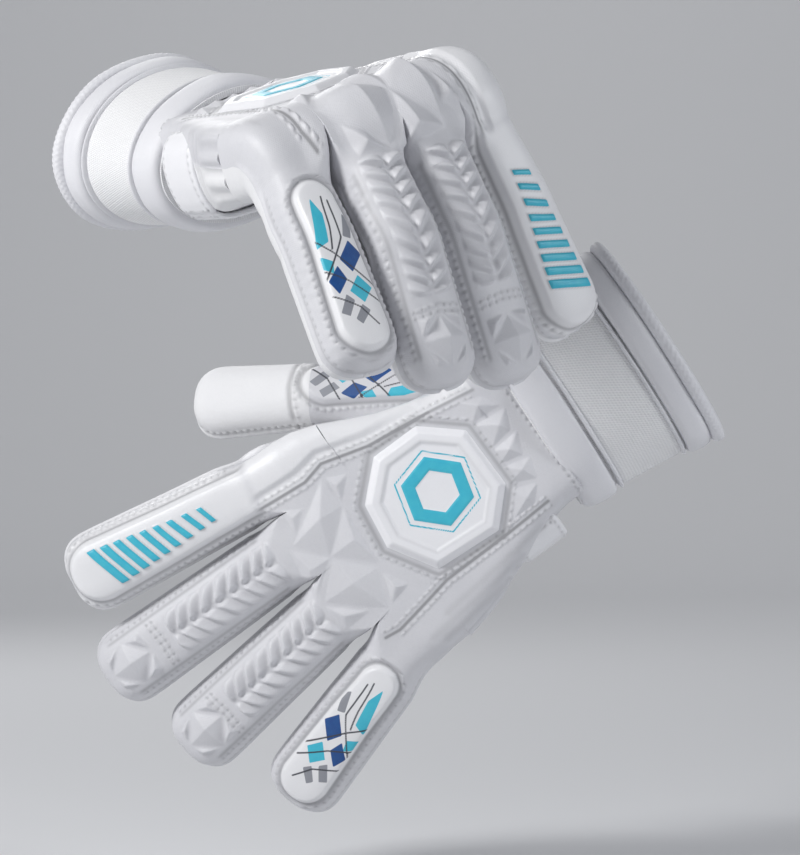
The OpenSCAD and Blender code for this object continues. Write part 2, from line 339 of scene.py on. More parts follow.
# ---------------------------------------------------------------- materials
def material(name, base, dark, rough, grain=1.1, grain_h=0.05, weave=None, spec=0.4, sheen=0.0, prints=True, mottled=0.5):
    m = bpy.data.materials.new(name)
    m.use_nodes = True
    nt = m.node_tree
    N, Lk = nt.nodes, nt.links
    for n in list(N):
        N.remove(n)
    out = N.new("ShaderNodeOutputMaterial")
    bs = N.new("ShaderNodeBsdfPrincipled")
    Lk.new(bs.outputs[0], out.inputs[0])
    bs.inputs["Specular IOR Level"].default_value = spec
    bs.inputs["Sheen Weight"].default_value = sheen

    def attr(a):
        n = N.new("ShaderNodeAttribute")
        n.attribute_name = a
        return n

    def math_(op, a, b=None, clamp=False):
        n = N.new("ShaderNodeMath")
        n.operation = op
        n.use_clamp = clamp
        for i, v in enumerate((a, b)):
            if v is None:
                continue
            if isinstance(v, (int, float)):
                n.inputs[i].default_value = v
            else:
                Lk.new(v, n.inputs[i])
        return n.outputs[0]

    def mix(f, a, b):
        n = N.new("ShaderNodeMix")
        n.data_type = "RGBA"
        if isinstance(f, (int, float)):
            n.inputs[0].default_value = f
        else:
            Lk.new(f, n.inputs[0])
        for i, v in ((6, a), (7, b)):
            if isinstance(v, tuple):
                n.inputs[i].default_value = (*v, 1)
            else:
                Lk.new(v, n.inputs[i])
        return n.outputs[2]

    def noise(scale, detail=3, rough_=0.55, vec=None):
        n = N.new("ShaderNodeTexNoise")
        n.inputs["Scale"].default_value = scale
        n.inputs["Detail"].default_value = detail
        n.inputs["Roughness"].default_value = rough_
        Lk.new(vec or cc, n.inputs["Vector"])
        return n.outputs[0]

    cc = attr("cc").outputs["Vector"]
    big = noise(0.045, 4)
    f = math_("MULTIPLY", math_("SUBTRACT", big, 0.35, True), mottled, True)
    col = mix(f, base, dark)
    fine = noise(0.9, 2)
    col = mix(math_("MULTIPLY", math_("SUBTRACT", fine, 0.45, True), 0.35, True), col, dark)
    if prints:
        pd = attr("c_pad").outputs["Fac"]
        col = mix(math_("MULTIPLY", pd, 0.85, True), col, (0.81, 0.81, 0.825))
        # c_dark: painted shade in grooves, seams, creases, folds and stitch holes, plus a little thread tone, mixed
        # towards a third of the base colour
        dk = math_("MINIMUM", attr("c_dark").outputs["Fac"], 1.0)
        col = mix(math_("MULTIPLY", dk, 0.72), col, tuple(v * 0.30 for v in base))
        # painted shade: darker where the relief sinks below the surface
        painted_recess_shade = math_("MULTIPLY", math_("MULTIPLY", attr("c_h").outputs["Fac"], -0.20, True), 1.0)
        col = mix(painted_recess_shade, col, dark)

        def paint(col, a, c, w=0.16):
            t = math_("ADD", math_("DIVIDE", attr(a).outputs["Fac"], w), 0.5, True)
            return mix(t, col, c)

        col = paint(col, "c_grey", (0.27, 0.28, 0.31))
        tn = mix(math_("MULTIPLY", noise(0.25, 3), 0.6), (0.035, 0.42, 0.60), (0.10, 0.60, 0.66))
        col = paint(col, "c_teal", tn)
        nn = mix(math_("MULTIPLY", noise(0.3, 3), 0.5), (0.012, 0.045, 0.20), (0.02, 0.16, 0.42))
        col = paint(col, "c_navy", nn)
        col = paint(col, "c_line", (0.045, 0.048, 0.06), 0.3)
    Lk.new(col, bs.inputs["Base Color"])
    r = math_("ADD", math_("MULTIPLY", noise(0.35, 3), 0.18), rough - 0.09)
    if prints:
        r = math_("SUBTRACT", r, math_("MULTIPLY", attr("c_pad").outputs["Fac"], 0.10))
    Lk.new(r, bs.inputs["Roughness"])
    hgt = math_("MULTIPLY", noise(grain, 3, 0.6), grain_h)
    if weave:
        kind, pitch, wh = weave
        sep = N.new("ShaderNodeSeparateXYZ")
        Lk.new(cc, sep.inputs[0])
        X, Y = sep.outputs[0], sep.outputs[1]
        k = 2 * math.pi / pitch
        a = math_("SINE", math_("MULTIPLY", X, k))
        b = math_("SINE", math_("MULTIPLY", Y, k))
        wv = math_("MULTIPLY", a, b)
        if kind == "rib":
            a = math_("SINE", math_("MULTIPLY", math_("ADD", Y, math_("MULTIPLY", X, 0.55)), k))
            b = math_("SINE", math_("MULTIPLY", X, k * 0.9))
            wv = math_("ADD", math_("MULTIPLY", a, 0.7), math_("MULTIPLY", b, 0.45))
            # painted shade in the rib's valleys, where the weave height is low
            rib_valley_shade_col = mix(math_("MULTIPLY", math_("SUBTRACT", 0.25, wv, True), 0.55, True), col, dark)
            Lk.new(rib_valley_shade_col, bs.inputs["Base Color"])
        hgt = math_("ADD", hgt, math_("MULTIPLY", wv, wh))
    bump = N.new("ShaderNodeBump")
    bump.inputs["Strength"].default_value = 1.0
    bump.inputs["Distance"].default_value = 0.001
    Lk.new(hgt, bump.inputs["Height"])
    Lk.new(bump.outputs[0], bs.inputs["Normal"])
    return m


WHITE, SHADE = (0.80, 0.80, 0.82), (0.62, 0.62, 0.66)
M_FOAM = material("backhand_coated_foam", (0.65, 0.65, 0.675), (0.49, 0.49, 0.53), 0.46, 1.6, 0.07, ("plain", 0.9, 0.018), 0.45)
M_LATEX = material("palm_latex_foam", (0.77, 0.77, 0.78), (0.64, 0.64, 0.66), 0.62, 0.8, 0.10, None, 0.3, mottled=0.35)
M_PAD = material("moulded_panel", (0.83, 0.83, 0.85), (0.72, 0.72, 0.76), 0.36, 2.0, 0.035, None, 0.5)
M_MESH = material("side_mesh_fabric", (0.70, 0.70, 0.73), (0.52, 0.52, 0.57), 0.7, 1.6, 0.06, ("plain", 1.3, 0.06), 0.25)
M_RIB = material("ribbed_textile", (0.86, 0.86, 0.865), (0.66, 0.66, 0.68), 0.72, 1.5, 0.05, ("rib", 1.15, 0.075), 0.25, prints=False)
M_ROLL = material("padded_roll_cover", (0.75, 0.75, 0.775), (0.64, 0.64, 0.69), 0.50, 1.4, 0.06, ("plain", 0.8, 0.02), 0.4, prints=False)
M_STRAP = material("smooth_strap", (0.82, 0.82, 0.84), (0.70, 0.70, 0.74), 0.42, 1.2, 0.05, ("plain", 0.7, 0.015), 0.45)
M_HOOK = material("hook_and_loop_pile", (0.60, 0.60, 0.64), (0.36, 0.36, 0.40), 0.85, 2.4, 0.35, None, 0.15, sheen=0.3, prints=False)


# ---------------------------------------------------------------- sections
def se(t, n):
    """superellipse quarter: t 0..1 outwards -> height share"""
    return np.maximum(1 - np.clip(t, 0, 1) ** n, 0) ** (1.0 / n)


def upper_curve(uL, uR, rL, rR, ht, n, v0=0.0, lip=0.0, M=260):
    """from (uR, v0) over the top to (uL, v0); uL negative"""
    a = np.linspace(0, math.pi / 2, M)
    cu = np.cos(a) ** (2.0 / n)
    sv = np.sin(a) ** (2.0 / n)
    R = np.stack([uR - rR + rR * cu, v0 + (ht - v0) * sv], 1)
    Lf = np.stack([uL + rL - rL * cu, v0 + (ht - v0) * sv], 1)[::-1]
    return np.vstack([R, Lf])


def section(uL, uR, rL, rR, ht, n, kL, kR, ntop, ns=20):
    """upper_curve resampled in three runs, so that each side's corner keeps its own column; k is 0 for a square side, 1 for a round one"""
    M = 260
    a = np.linspace(0, math.pi / 2, M)
    cu, sv = np.cos(a) ** (2.0 / n), np.sin(a) ** (2.0 / n)
    R = np.stack([uR - rR + rR * cu, ht * sv], 1)
    Lf = np.stack([uL + rL - rL * cu, ht * sv], 1)
    cR = int(round(lerp(M - 1, M * 0.5, kR)))
    cL = int(round(lerp(M - 1, M * 0.5, kL)))
    if kR < 0.02:
        R[cR] = (uR, ht)
        R[:cR, 0] = uR
    if kL < 0.02:
        Lf[cL] = (uL, ht)
        Lf[:cL, 0] = uL
    a1 = resample(R[: cR + 1], ns)
    a2 = resample(np.vstack([R[cR:], Lf[cL:][::-1]]), ntop - 2 * ns + 2)
    a3 = resample(Lf[: cL + 1][::-1], ns)
    return np.vstack([a1[:-1], a2, a3[1:]])


def resample(c, N):
    d = np.concatenate([[0], np.cumsum(np.hypot(*np.diff(c, axis=0).T))])
    t = np.linspace(0, d[-1], N)
    return np.stack([np.interp(t, d, c[:, 0]), np.interp(t, d, c[:, 1])], 1)


def finger_centre(f, s, fan):
    """centre line point and direction angle of finger f, in the straight hand plane"""
    a = rad(fan[f]) * sm((s + 12) / 18)
    k = sm((s + 12) / 18)
    x = K[f, 0] + lerp(s, s * math.cos(rad(fan[f])), k)
    y = K[f, 1] + s * math.sin(rad(fan[f])) * k
    return x, y, a


def mid_offset(f, nb, x, y, a, fan):
    """distance from the centre line along the section to the line halfway to the neighbour"""
    M = (K[f] + K[nb]) / 2
    ph = rad((fan[f] + fan[nb]) / 2)
    px, py = -math.sin(a), math.cos(a)
    best = None
    for dx, dy, lo in ((math.cos(ph), math.sin(ph), True), (1.0, 0.0, False)):
        # c + h p = M + r d
        det = px * (-dy) - py * (-dx)
        if abs(det) < 1e-9:
            continue
        bx, by = M[0] - x, M[1] - y
        h = (bx * (-dy) - by * (-dx)) / det
        r = (px * by - py * bx) / det
        if (lo and r >= 0) or (not lo and r <= 0):
            best = h
    return best if best is not None else (14.0 if nb < f else -14.0)


# the hand's outline in the straight plane
def y_hi(x):
    return np.interp(x, [6, 14, 24, 34, 48, 60, 72, 82, 92], [36, 35.5, 36, 38, 42.5, 48, 54, 57.4, 58.6])


def y_lo(x):
    return np.interp(x, [6, 14, 30, 48, 60, 72, 85, 100], [-37, -38.5, -44, -50.5, -54, -56.6, -57.2, -57.0])


HT, HB, NEDGE = 16.6, 17.0, 2.9


def hb_of(x):
    """how far the palm side stands below the hand's middle; the heel is thicker"""
    return float(np.interp(x, [-4, 12, 34, 44, 56, 68, 72], [25.5, 24.2, 23.5, 21.6, 18.4, 17.0, HB]))




def finger_half(f, s):
    L = FLEN[f]
    tip = [16.4, 15.9, 15.9, 15.6][f]
    return np.interp(s, [18, 45, L - 18], [14.0, 14.8, tip])


def finger_row(f, s, fan, half):
    """the section's numbers at s, with the flange: centre, angle, sides, corner radii, both heights, exponent, lips and
    corner roundness; half is not used
    """
    x, y, a = finger_centre(f, s, fan)
    hw = float(finger_half(f, max(s, 18)))
    k = float(sm((s - 9) / 15))
    kr = float(sm((s - 6) / 16))
    ends = []
    for nb, sg in ((f - 1, 1), (f + 1, -1)):
        if 0 <= nb <= 3:
            m = abs(mid_offset(f, nb, x, y, a, fan))
            u = lerp(m, hw, k)
            r = lerp(0.02, hw * 0.96, kr)
            lip = 1.3 * float(sm((s - 16) / 10))
            kc = kr
        else:
            yo = float(y_hi(x) if sg > 0 else y_lo(x))
            m = abs(yo - y) / max(math.cos(a), 0.5)
            u = lerp(m, hw, float(sm((s - 4) / 26)))
            r = lerp(14.0, hw * 0.96, kr)
            lip = 1.3 * float(sm((s + 4) / 14))
            kc = 1.0
        ends.append((sg * u, min(r, u), lip, kc))
    (uR, rR, lR, kR), (uL, rL, lL, kL) = ends
    ht = float(np.interp(s, [-30, 2, 22, 45, 80, 120], [HT, HT, 14.6, 13.4, 12.4, 11.8]))
    hb = float(np.interp(s, [-30, 0, 22, 45, 80, 120], [HB, HB, 14.0, 12.8, 12.2, 11.8]))
    n = lerp(NEDGE, 2.75, kr)
    return x, y, a, uL, uR, rL, rR, ht, hb, n, lL, lR, kL, kR


def finger_rows(f, s_list, fan, half, nloop):
    """P (ns, nl, 3) straight, plus s, u, v arrays; the fingertip closes with a dome"""
    L = FLEN[f]
    re = 14.0
    s1 = L - re
    rows, S, U, Vv, lipm = [], [], [], [], []
    for s in s_list:
        dome = max(0.0, (s - s1) / re)
        wsc = (max(1 - dome ** 2.6, 0.0)) ** (1 / 2.5)
        hsc = (max(1 - dome ** 3.2, 0.0)) ** (1 / 2.6)
        x, y, a, uL, uR, rL, rR, ht, hb, n, lL, lR, kL, kR = finger_row(f, s, fan, half)
        hh = ht if half == "top" else hb
        ntop = int(nloop * 0.78)
        c = section(uL, uR, rL, rR, hh, n, kL, kR, ntop, 22 if half == "top" else 12)
        nb_ = nloop - ntop
        ret = np.stack([np.linspace(c[-1, 0], c[0, 0], nb_ + 2)[1:-1], np.zeros(nb_)], 1)
        lip = np.zeros(nloop)
        if half == "top":
            m = np.exp(-(c[:, 1] / 1.5) ** 2)
            lip[:ntop] = m * np.where(c[:, 0] > 0, lR, lL)
            lip[ntop:] = 0
        c = np.vstack([c, ret])
        sg = np.sign(c[:, 0])
        u = c[:, 0] * wsc + sg * lip * max(wsc, 0.0)
        v = c[:, 1] * hsc * (1 if half == "top" else -1)
        sx = s + lip * dome
        px, py = -math.sin(a), math.cos(a)
        X = x + px * u + (sx - s) * math.cos(a)
        Y = y + py * u + (sx - s) * math.sin(a)
        zc = 0.0
        rows.append(np.stack([X, Y, v + zc], 1))
        S.append(np.full(nloop, s))
        U.append(u)
        Vv.append(v)
    return np.array(rows), np.array(S), np.array(U), np.array(Vv)


def bend_finger(side, f, P, S, U):
    """straight to rest; returns the bent points and the two weights"""
    d = POSE[side]
    fan, bend, curl = d["fan"], d["bend"], d["curl"]
    c, s_ = math.cos(rad(fan[f])), math.sin(rad(fan[f]))
    L1 = BLEN[f]
    hw = 14.0
    root = 1 - sm((S - 10) / 14)
    m = sm((np.abs(U) / hw - 0.15) / 0.8) * root
    Kx = np.full(S.shape, K[f, 0])
    B = np.full(S.shape, float(bend[f]))
    for nb, sg in ((f - 1, 1), (f + 1, -1)):
        if 0 <= nb <= 3:
            q = (U * sg > 0) * m
            Kx = Kx + q * (K[nb, 0] - K[f, 0]) / 2
            B = B + q * (bend[nb] - bend[f]) / 2
    sl = (P[..., 0] - K[f, 0]) * c + (P[..., 1] - K[f, 1]) * s_
    sw = lerp(sl, P[..., 0] - Kx, root)
    w1 = sm((sw + 11) / 24)
    w2 = sm((sl - (L1 - 9)) / 18)
    q = P - np.array([K[f, 0], K[f, 1], -4.0])
    piv = L1 * np.array([c, s_, 0])
    a = np.radians(curl[f] * w2)
    r = q - piv
    x = r[..., 0] * np.cos(a) + r[..., 2] * np.sin(a)
    z = -r[..., 0] * np.sin(a) + r[..., 2] * np.cos(a)
    q = np.stack([x, r[..., 1], z], -1) + piv
    off = Kx - K[f, 0]
    a = np.radians(B * w1)
    xx = q[..., 0] - off
    x = xx * np.cos(a) + q[..., 2] * np.sin(a) + off
    z = -xx * np.sin(a) + q[..., 2] * np.cos(a)
    q = np.stack([x, q[..., 1], z], -1)
    return q + np.array([K[f, 0], K[f, 1], -4.0]), w1, w2


# ---------------------------------------------------------------- relief
# facets of the knuckle panel, in the hand plane: polygon, apex, height
FACETS = [
    ([(82.8, 34), (82.8, 19.5), (97.9, 5.5), (107, 18)], (93, 20.5), 2.5),
    ([(81.5, 33), (73.2, 29), (82.2, 20.5)], (79.6, 27.6), 1.7),
    ([(82.5, 19), (84.6, -9.5), (97.5, 5)], (87, 5), 2.1),
    ([(98.4, 4.8), (109.4, 18.2), (113.4, -7.3)], (107.2, 5.5), 2.2),
    ([(97.6, 3.8), (86.8, -10.2), (91, -27), (110, -9)], (96.5, -9.5), 2.6),
    ([(85.8, -13), (79.8, -23.7), (89.1, -26.2)], (85, -21.4), 1.7),
    ([(102.6, 33), (95.6, 28.2), (103.6, 21)], (100.6, 27.6), 1.3),
    ([(112, -9.5), (97, -23), (110.2, -24)], (106.6, -18.6), 1.7),
]
OCT = [(22, -16), (19.5, 11), (24, 25), (54.5, 27.5), (73.5, 15.7), (77.7, -7.5), (65.5, -26), (31, -26.5)]
PLATE = [(22, -14), (22, 14), (38, 28), (60, 28), (75, 14), (78, -6), (66, -26), (36, -28)]


def hand_relief(lk, X, Y, mask, side):
    """relief and painted shade of the back of the hand, in the straight hand plane; mask is 1 on the back"""
    x, y = X, Y
    sub = Look(X.shape)
    for pts, ap, h in FACETS:
        sub.h = np.maximum(sub.h, pyramid(x, y, pts, ap, h))
    # panel edges: the index panel's border, the knuckle panel's lower border, each a groove with a line of painted
    # shade in its cut
    seamA = [(140, 43), (112.7, 39), (89.1, 36.6), (79.5, 38.9), (59.1, 33.1), (30.4, 29.5), (9.8, 26)]
    d, run = sd_path(x, y, seamA)
    sub.add(groove(d, 0.75, 0.9), (x < 116))
    # painted shade in the seam's cut
    sub.dark += 0.75 * np.exp(-(d / 0.42) ** 2) * (x > 30)
    sub.stitched(x, y, [(112, 36.8), (89.3, 34.2), (79.2, 36.2), (60, 30.9), (31, 27.4), (12, 24)])
    sub.stitched(x, y, [(112, 41.2), (89, 39), (79.6, 41.2), (58.6, 35.4), (30, 31.8), (12, 28.4)])
    seamB = [(12, -30.5), (33, -31.4), (66, -31.8), (80, -34.5), (92, -37), (98.5, -36.2)]
    d, run = sd_path(x, y, seamB)
    sub.add(groove(d, 0.75, 0.9))
    # painted shade in the seam's cut
    sub.dark += 0.75 * np.exp(-(d / 0.42) ** 2)
    sub.stitched(x, y, [(12, -28.4), (33, -29.3), (66.5, -29.6), (80, -32.2), (92, -34.6), (98, -34.0)])
    sub.stitched(x, y, [(12, -32.8), (33, -33.7), (66, -34.1), (80, -36.8), (92, -39.2)])
    # ring of stitches and channel round the plate, with painted shade in the channel
    dp = sd_poly(x, y, PLATE)
    sub.add(groove(dp + 2.2, 1.0, 0.8), 0.8)
    n = len(PLATE)
    run = np.arctan2(y, x - 50) * 30
    sub.add(stitch(dp + 4.2, run))
    # raised pad of the index panel over the thumb web
    pad = sd_poly(x, y, [(20, 37.5), (32, 33.6), (58, 37.2), (79, 43.4), (90, 41.6), (112, 43.0), (132, 47), (132, 70), (112, 68), (80, 60), (50, 50), (30, 44)])
    sub.h = sub.h + 1.5 * sm((pad + 0.4) / 3.2)
    # fold lines that run out of the little-finger side, with painted shade in each fold
    for o, L0, L1 in ((-39.5, 20, 74), (-43.5, 34, 84), (-47.5, 46, 80)):
        d = np.abs(y - (o - (x - 40) * 0.10)) + 30 * np.clip((L0 - x) / 30, 0, 1) + 30 * np.clip((x - L1) / 30, 0, 1)
        g = np.exp(-(d / 1.7) ** 2)
        sub.h -= 0.9 * g
        sub.dark += 0.22 * g
    # zigzag facets at the wrist
    for pts, ap, h in (([(19.5, 27), (8, 21), (4, 14), (18.5, 14.5)], (12, 19.5), 2.3), ([(18.5, 13.5), (3, 12), (7, 3), (17.5, 1.5)], (9.5, 7.5), 2.3),
                       ([(18.5, 0.5), (5, 1), (9, -8.5), (19.5, -6)], (12, -3.2), 2.3), ([(19.5, -7.5), (7, -11), (10, -20), (20.5, -15)], (13, -13.2), 2.3),
                       ([(22, -17), (11, -21.5), (17, -28), (28, -28)], (18.5, -24), 2.0)):
        sub.h = np.maximum(sub.h, pyramid(x, y, pts, ap, h))
    lk.h += sub.h * mask
    lk.dark += sub.dark * mask
    lk.pad = np.maximum(lk.pad, sm((sd_poly(x, y, [(a, b + 0.6) for a, b in seamA[1:]] + [(9.8, 70), (140, 70), (140, 43)]) + 0.2) / 0.5) * mask)


def seg_tri(x, y, pts):
    return sd_poly(x, y, pts)


def print_panel(lk, a, b, raise_):
    """the invented print of the little finger's and thumb's panel: a along, b across, within a 56 x 19 patch from a = 0"""
    inside = raise_
    T1 = seg_tri(a, b, [(0, 3.2), (19, 8.8), (17, 3.4), (7, 1.0)])
    T2 = seg_tri(a, b, [(32, -3.4), (38, 2.0), (43.5, -2.4), (38, -7.4)])
    T3 = seg_tri(a, b, [(22, 8.6), (27, 9.2), (30, 5.6), (25, 4.4)])
    N1 = seg_tri(a, b, [(17.5, -4.6), (24.5, 1.6), (30.5, -2.0), (23.5, -8.2)])
    N2 = seg_tri(a, b, [(27, 3.4), (32.6, 8.6), (38.5, 6.4), (33, 1.4)])
    G1 = seg_tri(a, b, [(39, 4.0), (46, 8.2), (48, 5.4), (42, 1.4)])
    G2 = seg_tri(a, b, [(44, -1.0), (49.5, 3.6), (52, 1.6), (47, -3.6)])
    G3 = seg_tri(a, b, [(8, -6.6), (15.8, -3.2), (17, -6.2), (10, -9.0)])
    lk.teal = np.maximum(lk.teal, np.minimum(np.maximum(np.maximum(T1, T2), T3), inside - 0.9))
    lk.navy = np.maximum(lk.navy, np.minimum(np.maximum(N1, N2), inside - 0.9))
    lk.grey = np.maximum(lk.grey, np.minimum(np.maximum(np.maximum(G1, G2), G3), inside - 0.9))
    for p in ([(2, -3.5), (16, -2.4), (24, 3.4), (36, 12)], [(12, 12), (22, 2.6), (31, -4.4), (40, -11)], [(26, 12), (34, 0.6), (44, -9)], [(38, 10), (45, 0), (53, -5)], [(0, -1.6), (12, 0.6), (20, 3.0)]):
        d, _ = sd_path(a, b, p)
        lk.line = np.maximum(lk.line, np.minimum(0.34 - d, inside - 0.9))


def finger_relief(side, f, lk, S, U, X, Y, mask):
    s, u = S, U
    o = Look(S.shape)
    L = FLEN[f]
    if f == 0:
        pad = sd_capsule(s, u, (8, 0), (L - 16.0, 0), 9.2, 13.2)
        o.h += 1.7 * sm((pad + 0.3) / 2.8)
        o.pad = sm((pad + 6.5) / 0.6)
        o.add(groove(pad + 1.2, 0.8, 0.7))
        o.add(stitch(pad + 2.9, s))
        for i in range(9):
            sc = L - 21 - 5.9 * i
            ln, of = 8.8 - 0.62 * i, 0.0
            wd = 1.95 - 0.10 * i
            q = np.minimum(wd - np.abs(s - sc - 0.45 * (u - of)), ln - np.abs(u - of))
            o.h += 0.95 * sm((q + 0.35) / 0.9)
            o.teal = np.maximum(o.teal, q)
            # painted shade round the foot of each raised bar
            o.add((0 * q, 0.35 * np.exp(-((q + 0.15) / 0.35) ** 2)))
    elif f in (1, 2):
        col = 10.4
        a0, a1 = 17.5, 73.0
        inn = np.minimum(np.minimum(s - a0, a1 - s), col - np.abs(u))
        ph = (s + 0.62 * np.abs(u)) / 6.4
        fr = ph - np.floor(ph)
        saw = np.where(fr < 0.70, fr / 0.70, (1 - fr) / 0.30)
        lat = 1 - np.clip(np.abs(u) / col, 0, 1) ** 3
        valley = sm((np.abs(u) - 0.15) / 2.2)
        o.h += 2.7 * saw * lat * (0.25 + 0.75 * valley) * sm(inn / 1.4)
        # painted shade in the valleys of the saw-tooth ribs
        o.dark += 0.20 * (1 - saw) ** 3 * sm(inn / 1.0) * lat
        # the back panel's edges: grooves with painted shade, and stitches beside them
        for e in (-12.2, 12.2):
            d = np.abs(u - e)
            m = sm((s - 20) / 3) * sm((L - 10 - s) / 3)
            gg = groove(d, 0.7, 0.55)
            o.h += gg[0] * m
            o.dark += gg[1] * m * 0.7
            st = stitch(np.abs(u - np.sign(e) * 13.7), s)
            o.h += st[0] * m
            o.dark += st[1] * m
        for e in (77.0, 79.6):
            d = np.abs(s - e - 0.12 * np.abs(u))
            m = sm((11.6 - np.abs(u)) / 1.0)
            st = stitch(d, u + 30)
            o.h += st[0] * m
            o.dark += st[1] * m
        d = np.abs(s - 75.3)
        gg = groove(d, 0.6, 0.4)
        o.h += gg[0] * sm((11 - np.abs(u)) / 1.0)
        tp = max(L - 16.5, 88)
        o.h = np.maximum(o.h, pyramid(s, u, [(tp - 10.5, 0), (tp - 1, -9.8), (tp + 9.5, 0), (tp - 1, 9.8)], (tp - 1.5, 0.6), 3.1))
        o.h = np.maximum(o.h, pyramid(s, u, [(tp - 11.5, 1.2), (tp - 10.5, 9.8), (tp - 3.0, 9.4)], (tp - 8.6, 7.0), 2.1))
        o.h = np.maximum(o.h, pyramid(s, u, [(tp - 11.5, -1.2), (tp - 3.0, -9.4), (tp - 10.5, -9.8)], (tp - 8.6, -7.0), 2.1))
        o.h = np.maximum(o.h, pyramid(s, u, [(tp + 1.6, 9.4), (tp + 9.0, 6.8), (tp + 9.6, 1.6)], (tp + 6.9, 6.0), 1.4))
        o.h = np.maximum(o.h, pyramid(s, u, [(tp + 1.6, -9.4), (tp + 9.6, -1.6), (tp + 9.0, -6.8)], (tp + 6.9, -6.0), 1.4))
    else:
        pad = sd_capsule(s, u, (30, 0), (L - 15.5, 0), 8.4, 10.6)
        o.h += 1.4 * sm((pad + 0.3) / 2.2)
        o.pad = sm((pad + 0.8) / 0.6)
        o.add(groove(pad + 1.2, 0.8, 0.7))
        o.add(stitch(pad + 2.8, s))
        print_panel(o, s - 30.0, -u, pad)
    # the stitched edge of the back panel and the painted shade in its cut line
    lk.h += o.h * mask
    lk.dark += o.dark * mask
    lk.pad = np.maximum(lk.pad, o.pad * mask)
    for k in ("teal", "navy", "grey", "line"):
        v = getattr(o, k)
        setattr(lk, k, np.maximum(getattr(lk, k), np.where(mask > 0.3, v, -9.0)))


def displace(P, lk, flipn):
    n = normals_of(P, True) * flipn
    return P + n * lk.h[..., None], n


def make_finger(side, f):
    fan = POSE[side]["fan"]
    L, L1 = FLEN[f], BLEN[f]
    cutx = 72.0
    s0 = cutx - K[f, 0]
    sm_cut = L1 * 0.5
    spans = {"a": (s0, sm_cut), "b": (sm_cut, L)}
    gm = GM[side]
    for half in ("top", "bot"):
        for part, (a, b) in spans.items():
            step = 0.62 if half == "top" else 1.2
            if part == "a":
                sl = np.linspace(a, b, int((b - a) / step) + 2)
            else:
                re = 14.0
                s1 = L - re
                t = np.linspace(0, math.pi / 2, int(re * 1.5 / step))
                sl = np.concatenate([np.linspace(a, s1, int((s1 - a) / step) + 1)[:-1], s1 + re * np.sin(t) * 0.9985])
            nloop = 132 if half == "top" else 84
            P, S, U, Vv = finger_rows(f, sl, fan, half, nloop)
            # the loop order: right edge, over the back, left edge; the lower half runs mirrored
            if half == "bot":
                P, S, U, Vv = P[:, ::-1], S[:, ::-1], U[:, ::-1], Vv[:, ::-1]
            N = normals_of(P, True)
            # sign so that the top points up
            j = P.shape[1] // 3
            sgn = 1.0
            mid = P[len(P) // 3]
            cen = mid.mean(0)
            if np.mean(np.sum(N[len(P) // 3] * (mid - cen), -1)) < 0:
                sgn = -1.0
            N = N * sgn
            if part == "a":
                zs = 1.0 if half == "top" else -1.0
                m = (1 - sm((S - 9) / 8)) * (np.abs(P[..., 2]) > 0.8 * HT)
                if f == 0:
                    m = m * (U < 0)
                if f == 3:
                    m = m * (U > 0)
                N = lerp(N, np.array([0, 0, zs]), m[..., None])
                N = N / np.linalg.norm(N, axis=-1, keepdims=True)
            lk = Look(S.shape)
            if half == "top":
                up = sm((N[..., 2] - 0.15) / 0.35)
                finger_relief(side, f, lk, S, U, P[..., 0], P[..., 1], up * sm((S - 12) / 8))
                gain = 1.0 + (1.3 if side == "right" else 0.0) * np.exp(-((S - 3) / 13) ** 2) * (f > 0)
                if part == "a":
                    hand_relief(lk, P[..., 0], P[..., 1], up * (1 - sm((S - 12) / 8)), side)
                    lk.h *= gain
                # a stitched flange with a line of painted shade just above it, and soft folds down the sides
                sd = sm((0.8 - N[..., 2]) / 0.4) * sm((Vv - 0.3) / 0.7)
                st = stitch(np.abs(Vv - 3.0), S)
                kk = sd * sm((S - 14) / 8)
                lk.h += 0.5 * st[0] * kk
                lk.dark += 0.8 * st[1] * kk + 0.40 * np.exp(-((Vv - 1.9) / 0.45) ** 2) * kk
                lk.h += 0.10 * np.sin(S * 0.9 + np.sin(S * 0.21) * 2) * kk * sm((Vv - 3.5) / 2)
            else:
                # creases across the grip; the one at the middle joint gets painted shade
                lk.h += 0.28 * np.exp(-((S - L1) / 2.2) ** 2) * -1 - 0.22 * np.exp(-((S - 4) / 2.4) ** 2)
                lk.dark += 0.1 * np.exp(-((S - L1) / 2.2) ** 2)
            lk.h[np.abs(Vv) < 0.02] = 0
            Pd = P + N * lk.h[..., None]
            R, w1, w2 = bend_finger(side, f, Pd, S, U)
            cc = Pd.copy()
            mat = M_FOAM if half == "top" else M_LATEX
            w = w1 if part == "a" else w2
            if sgn < 0:
                R, cc, w = R[:, ::-1], cc[:, ::-1], w[:, ::-1]
                for k in ("h", "dark", "teal", "navy", "grey", "line", "pad"):
                    setattr(lk, k, getattr(lk, k)[:, ::-1])
            w = w.copy()
            if part == "a":
                w[0, :] = 0
            nm = f"{side}_{FN[f]}_{'lower' if part == 'a' else 'upper'}_{'back' if half == 'top' else 'grip'}_cover"
            ob, wv, W = tube(nm, side, R, cc, lk, mat, (True, True), w)
            bodies = (f"{side}_hand", f"{side}_{FN[f]}_base") if part == "a" else (f"{side}_{FN[f]}_base", f"{side}_{FN[f]}_tip")
            set_blend(ob, *bodies, wv, W.reshape(len(sl), -1, 3)[0].mean(0), W.reshape(len(sl), -1, 3)[-1].mean(0))
            node = f"{side}_{FN[f]}_{'base' if part == 'a' else 'tip'}_{'back' if half == 'top' else 'grip'}"
            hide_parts(node)


